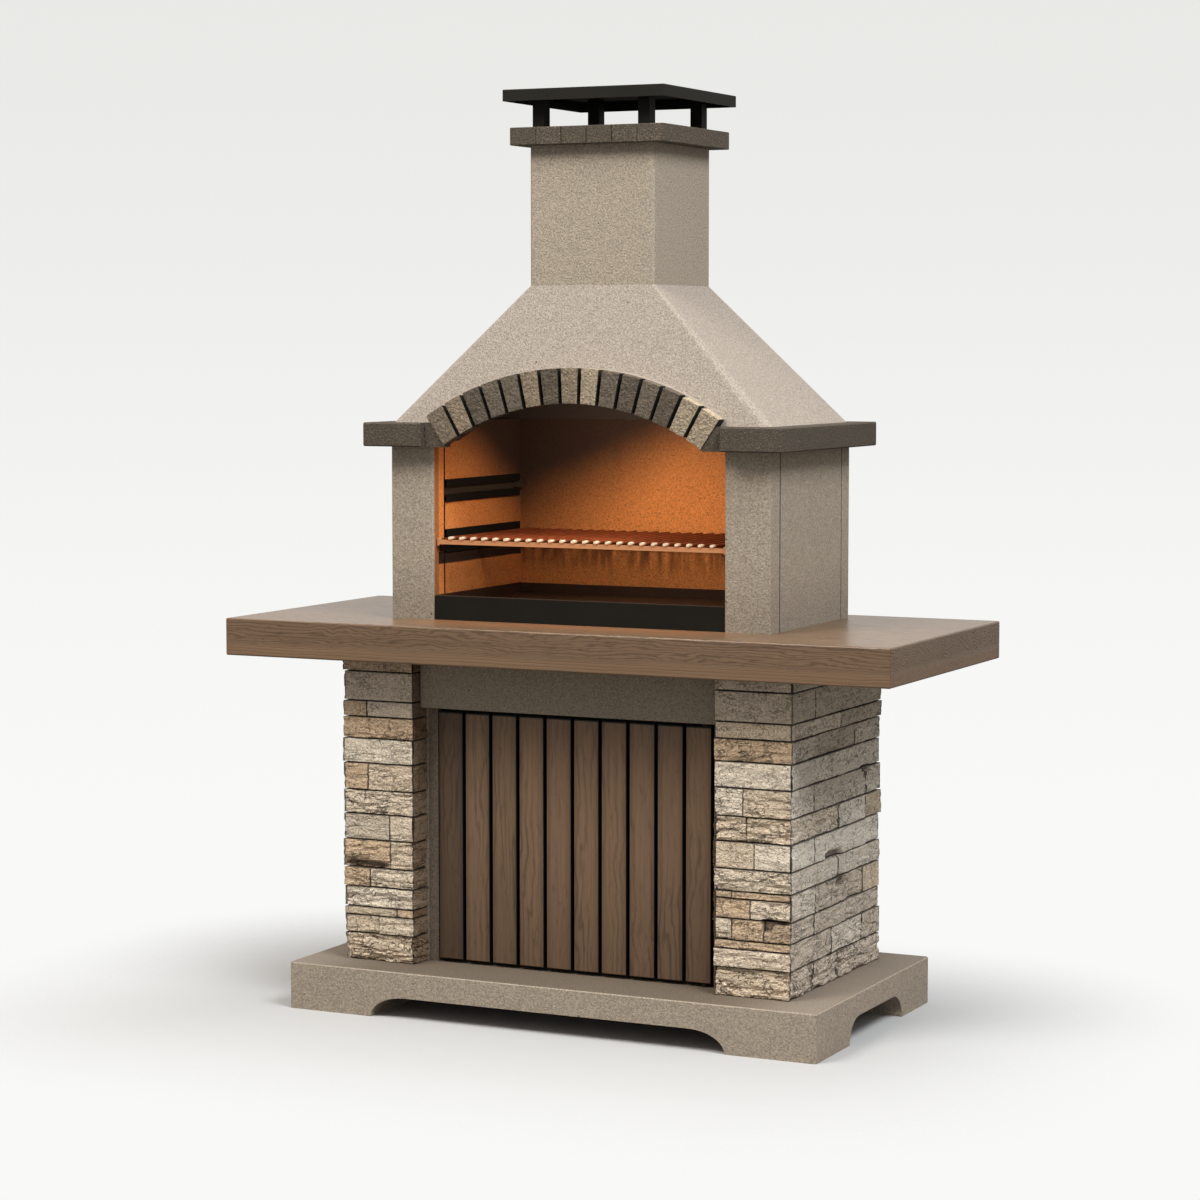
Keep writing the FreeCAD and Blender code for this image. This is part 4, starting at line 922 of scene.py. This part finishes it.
# The arch stones from the left
ARCH_RING = (
    "ash", "sand", "dark", "slate", "slate", "sand", "dark", "sand", "straw", "slate", "dark",
    "slate", "dark", "straw", "straw",
)
# How much lighter the upper edge of the last arch stone is, as a painted highlight; it is less towards
# the middle and none left of it
TOP_EDGE_HIGHLIGHT = 0.6
# How rough the arch stones are, from the left
ARCH_ROUGHNESS = (0.9, 0.8, 1.0, 0.45, 0.5, 0.9, 1.0, 0.9, 0.7, 0.5, 1.0, 0.4, 0.5, 0.9, 0.9)


def arch_facing(node, tree, finish):
    """The arch stones as wedges between two radii, hewn, in place of their CAD node."""
    low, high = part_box(node)
    heap = StoneHeap()
    solids = sorted(solids_of(node), key=lambda solid: solid[:, 0].mean())
    lowest = np.array([solid[np.argmin(np.hypot(solid[:, 0], solid[:, 2]))] for solid in solids])
    circle = np.stack([2 * lowest[:, 2], np.ones(len(lowest))], axis=1)
    centre = np.linalg.lstsq(circle, lowest[:, 0] ** 2 + lowest[:, 2] ** 2, rcond=None)[0][0]
    for index, solid in enumerate(solids):
        rear = solid[solid[:, 1] > high.y - TOUCH]
        radius = np.hypot(rear[:, 0], rear[:, 2] - centre)
        angle = np.arctan2(rear[:, 0], rear[:, 2] - centre)
        radii = (radius.min(), radius.max())
        ends = [angle[np.abs(radius - r) < ARC_SLACK] for r in radii]
        tall = round((radii[1] - radii[0]) / ARCH_CELL)
        wide = round(np.ptp(ends[1]) * radii[1] / ARCH_CELL)
        up = np.linspace(0, 1, tall)[:, None]
        across = np.linspace(0, 1, wide)[None]
        start = ends[0].min() + (ends[1].min() - ends[0].min()) * up
        stop = ends[0].max() + (ends[1].max() - ends[0].max()) * up
        turn = start + (stop - start) * across
        reach = radii[0] + (radii[1] - radii[0]) * up
        x, z = np.sin(turn) * reach, np.cos(turn) * reach + centre
        front = np.stack([x, np.full_like(x, low.y), z], axis=2)
        back = np.stack([x, np.full_like(x, high.y), z], axis=2)
        out = np.broadcast_to((0.0, -1.0, 0.0), front.shape)
        breadth = (stop - start) * reach
        aside = np.minimum(across, 1 - across) * breadth
        edge = np.minimum(aside, np.minimum(up, 1 - up) * (radii[1] - radii[0]))
        tints = np.tile(linear(*ARCH_TONES[ARCH_RING[index]]), (tall, wide, 1))
        # Painted highlight on the upper edge of the stones right of the middle
        tints[-1] *= 1 + TOP_EDGE_HIGHLIGHT * max(0.0, solid[:, 0].mean() / high.x)
        number, rough = ARCH_NUMBERS + index, ARCH_ROUGHNESS[index]
        heap.add(front, back, out, edge, edge * 0, edge * 0, tints, False, stone=number, rough=rough)
    body = heap.body(node + "_hewn")
    hewn(body, tree, relief=0.0030, ledge_length=0.014, ledge_height=0.014, edge_wear=0.0009,
         foot_wear=0.0, edge_jog=0.0, finish=finish)
    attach(body, "masonry")
    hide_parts(node)


def paint_cad_nodes():
    """Gives every CAD node the finish of its material slot."""
    finishes = {
        "concrete": cast_concrete("cast_concrete"),
        "facing_stone": ledge_stone(),
        "dark_stone": dark_stone(),
        "firebrick": firebrick(),
        "mortar": dark_mortar(),
        "black_steel": black_steel("black_steel"),
        "grate_steel": grate_steel(),
        "timber": slat_timber(),
        "black_board": black_board(),
        "bright_steel": bare_metal("zinc_steel", (172, 172, 174), 0.4),
        "bronze": bare_metal("bush_bronze", (46, 38, 27), 0.55),
        "magnet": bare_metal("catch_magnet", (52, 52, 55), 0.5),
    }
    panel_low, panel_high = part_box("right_side_panel")
    jointed = cast_concrete("wall_concrete", joints=(panel_low.y, panel_high.y), foot=panel_low.z)
    tray_low, tray_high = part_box("ember_tray")
    tray_rim = (tray_high.z - 0.0014, tray_high.z + 0.001)
    half_slot = 0.009
    rails = [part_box("right_lower_rail"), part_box("right_upper_rail")]
    slots = [((low.z + high.z) / 2 - half_slot, (low.z + high.z) / 2 + half_slot) for low, high in rails]
    pairs = {
        "lower_rail": black_steel("rail_steel", slots),
        # The jambs' concrete is a darker copy, as painted shade in the bay
        "jamb": cast_concrete("bay_concrete", colour=(120, 106, 90)),
        "front_pillar": jointed, "side_panel": jointed, "rear_post": jointed,
    }
    pairs["upper_rail"] = pairs["lower_rail"]
    sides = ("left", "right")
    special = {side + "_" + piece: finish for side in sides for piece, finish in pairs.items()}
    special |= {
        "worktop": worktop_timber(),
        "cowl_lid": black_steel("lid_steel", lightness=1.4),
        "door_pivot_pins": bare_metal("pin_steel", (40, 37, 33), 0.5),
        "ember_tray": black_steel("tray_steel", [tray_rim], browned_behind=tray_low.y + 0.004),
        # The plinth's concrete is a lighter copy, as painted light against the little light the floor
        # throws back, and its top has painted shade
        "plinth": cast_concrete("plinth_concrete", colour=(172, 156, 137), top=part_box("plinth")[1].z),
        "lintel": cast_concrete("lintel_concrete", colour=(148, 134, 116)),
        "hood": cast_concrete("hood_concrete", colour=(163, 150, 136), soot_and_shade=hood_soot_and_shade),
    }
    for part in frame["record"]["subparts"]:
        node = part["node"]
        data = PARTS[node].data
        data.materials.clear()
        data.materials.append(special.get(node) or finishes[part["material_slot"]])
    return finishes


ROOM_LIGHT = 0.40  # strength of the even light all round
BACKDROP_RISE = (-0.17, 0.13)  # the backdrop darkens between these heights of the line of sight


def backdrop():
    """Even light all round. The camera and reflections see a pale backdrop in its place."""
    world = bpy.data.worlds.new("studio")
    bpy.context.scene.world = world
    world.use_nodes = True
    tree = world.node_tree
    tree.nodes.clear()
    camera_ray = new_node(tree, "ShaderNodeLightPath", output="Is Camera Ray")
    glossy_ray = new_node(tree, "ShaderNodeLightPath", output="Is Glossy Ray")
    even = {"Color": (0.97, 0.98, 1.0, 1.0), "Strength": ROOM_LIGHT}
    room = new_node(tree, "ShaderNodeBackground", {}, even)
    height = new_node(tree, "ShaderNodeTexCoord", output="Generated").axis("Z").rise(*BACKDROP_RISE)
    pale = height.blend(linear(249, 249, 248), linear(233, 233, 230))
    seen = new_node(tree, "ShaderNodeBackground", {}, {"Color": pale, "Strength": 1.0})
    shown = camera_ray.maths("MAXIMUM", glossy_ray)
    mixed = room.node("ShaderNodeMixShader", {}, {0: shown, 1: room, 2: seen})
    output = tree.nodes.new("ShaderNodeOutputWorld")
    tree.links.new(mixed.socket, output.inputs["Surface"])


def pale_floor():
    """A floor that keeps the shadow and fades into the backdrop away from the plinth.

    It is darker to all rays but the camera's, so that it throws little light back.
    """
    reach = 14.0
    corners = [(-reach, -reach, 0), (reach, -reach, 0), (reach, reach, 0), (-reach, reach, 0)]
    mesh = bpy.data.meshes.new("floor")
    mesh.from_pydata(corners, [], [(0, 1, 2, 3)])
    floor = bpy.data.objects.new("floor", mesh)
    bpy.context.scene.collection.objects.link(floor)
    finish = Finish("floor_paint", roughness=0.9)
    finish.shader.inputs["Specular IOR Level"].default_value = 0.0
    tone = finish.place.noise(0.4, 1.0)
    pale = tone.blend(linear(192, 190, 187), linear(195, 193, 190))
    camera_ray = new_node(finish.tree, "ShaderNodeLightPath", output="Is Camera Ray")
    mesh.materials.append(finish.done(camera_ray.blend(linear(130, 128, 125), pale)))
    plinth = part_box("plinth")[1]
    shadow_left, shadow_front, fade = 0.10, 0.15, 0.85
    beside = (abs(finish.place.axis("X") + shadow_left) - plinth.x).maths("MAXIMUM", 0.0)
    before = (abs(finish.place.axis("Y") + shadow_front) - plinth.y).maths("MAXIMUM", 0.0)
    away = (beside * beside + before * before).maths("SQRT")
    fading = away.rise(0.0, fade) * camera_ray
    clear = new_node(finish.tree, "ShaderNodeBsdfTransparent")
    surface = Wire(finish.tree, finish.shader.outputs[0])
    mixed = clear.node("ShaderNodeMixShader", {}, {0: fading, 1: surface, 2: clear})
    finish.tree.links.new(mixed.socket, finish.tree.nodes["Material Output"].inputs["Surface"])


def soft_light(name, spot, target, size, power, colour):
    """A round soft light at a spot, aimed at its target."""
    data = bpy.data.lights.new(name, "AREA")
    data.shape = "DISK"
    data.size = size
    data.energy = power
    data.color = colour
    lamp = bpy.data.objects.new(name, data)
    lamp.location = spot
    lamp.visible_camera = False
    lamp.rotation_euler = (Vector(target) - Vector(spot)).to_track_quat("-Z", "Y").to_euler()
    bpy.context.scene.collection.objects.link(lamp)


def photo_camera():
    """The camera as solved from the photograph's edges."""
    tilt_down, turn = 4.774, 25.844
    camera = bpy.data.objects.new("camera", bpy.data.cameras.new("camera"))
    camera.data.sensor_width = 36.0
    camera.data.lens = 93.84
    camera.location = (3.1028, -6.4626, 1.5434)
    camera.rotation_euler = (math.radians(90 - tilt_down), 0, math.radians(turn))
    bpy.context.scene.collection.objects.link(camera)
    bpy.context.scene.camera = camera


def studio():
    """The backdrop, the floor, three large soft lights, a small warm lamp in the hood and the camera."""
    backdrop()
    pale_floor()
    middle = (0, 0, 1.0)
    soft_light("front_light", (-1.63, -3.50, 5.60), middle, 2.6, 246, (1.0, 0.97, 0.92))
    soft_light("side_light", (3.61, -2.08, 5.32), middle, 2.8, 325, (0.90, 0.95, 1.0))
    soft_light("top_light", (0, 0, 6.0), middle, 3.2, 80, (1.0, 1.0, 1.0))
    soft_light("hood_lamp", (0.06, -0.13, 1.37), (0.02, 0.16, 1.08), 0.12, 1.56, (1.0, 0.93, 0.84))
    photo_camera()
    bpy.context.scene.view_settings.view_transform = "Standard"


finishes = paint_cad_nodes()
hewing = hewing_tree()
pier_facing("right_pier_stones", 1, RIGHT_COURSES, hewing, finishes["facing_stone"])
pier_facing("left_pier_stones", -1, LEFT_COURSES, hewing, finishes["facing_stone"])
arch_facing("arch_voussoirs", hewing, arch_stone())
studio()
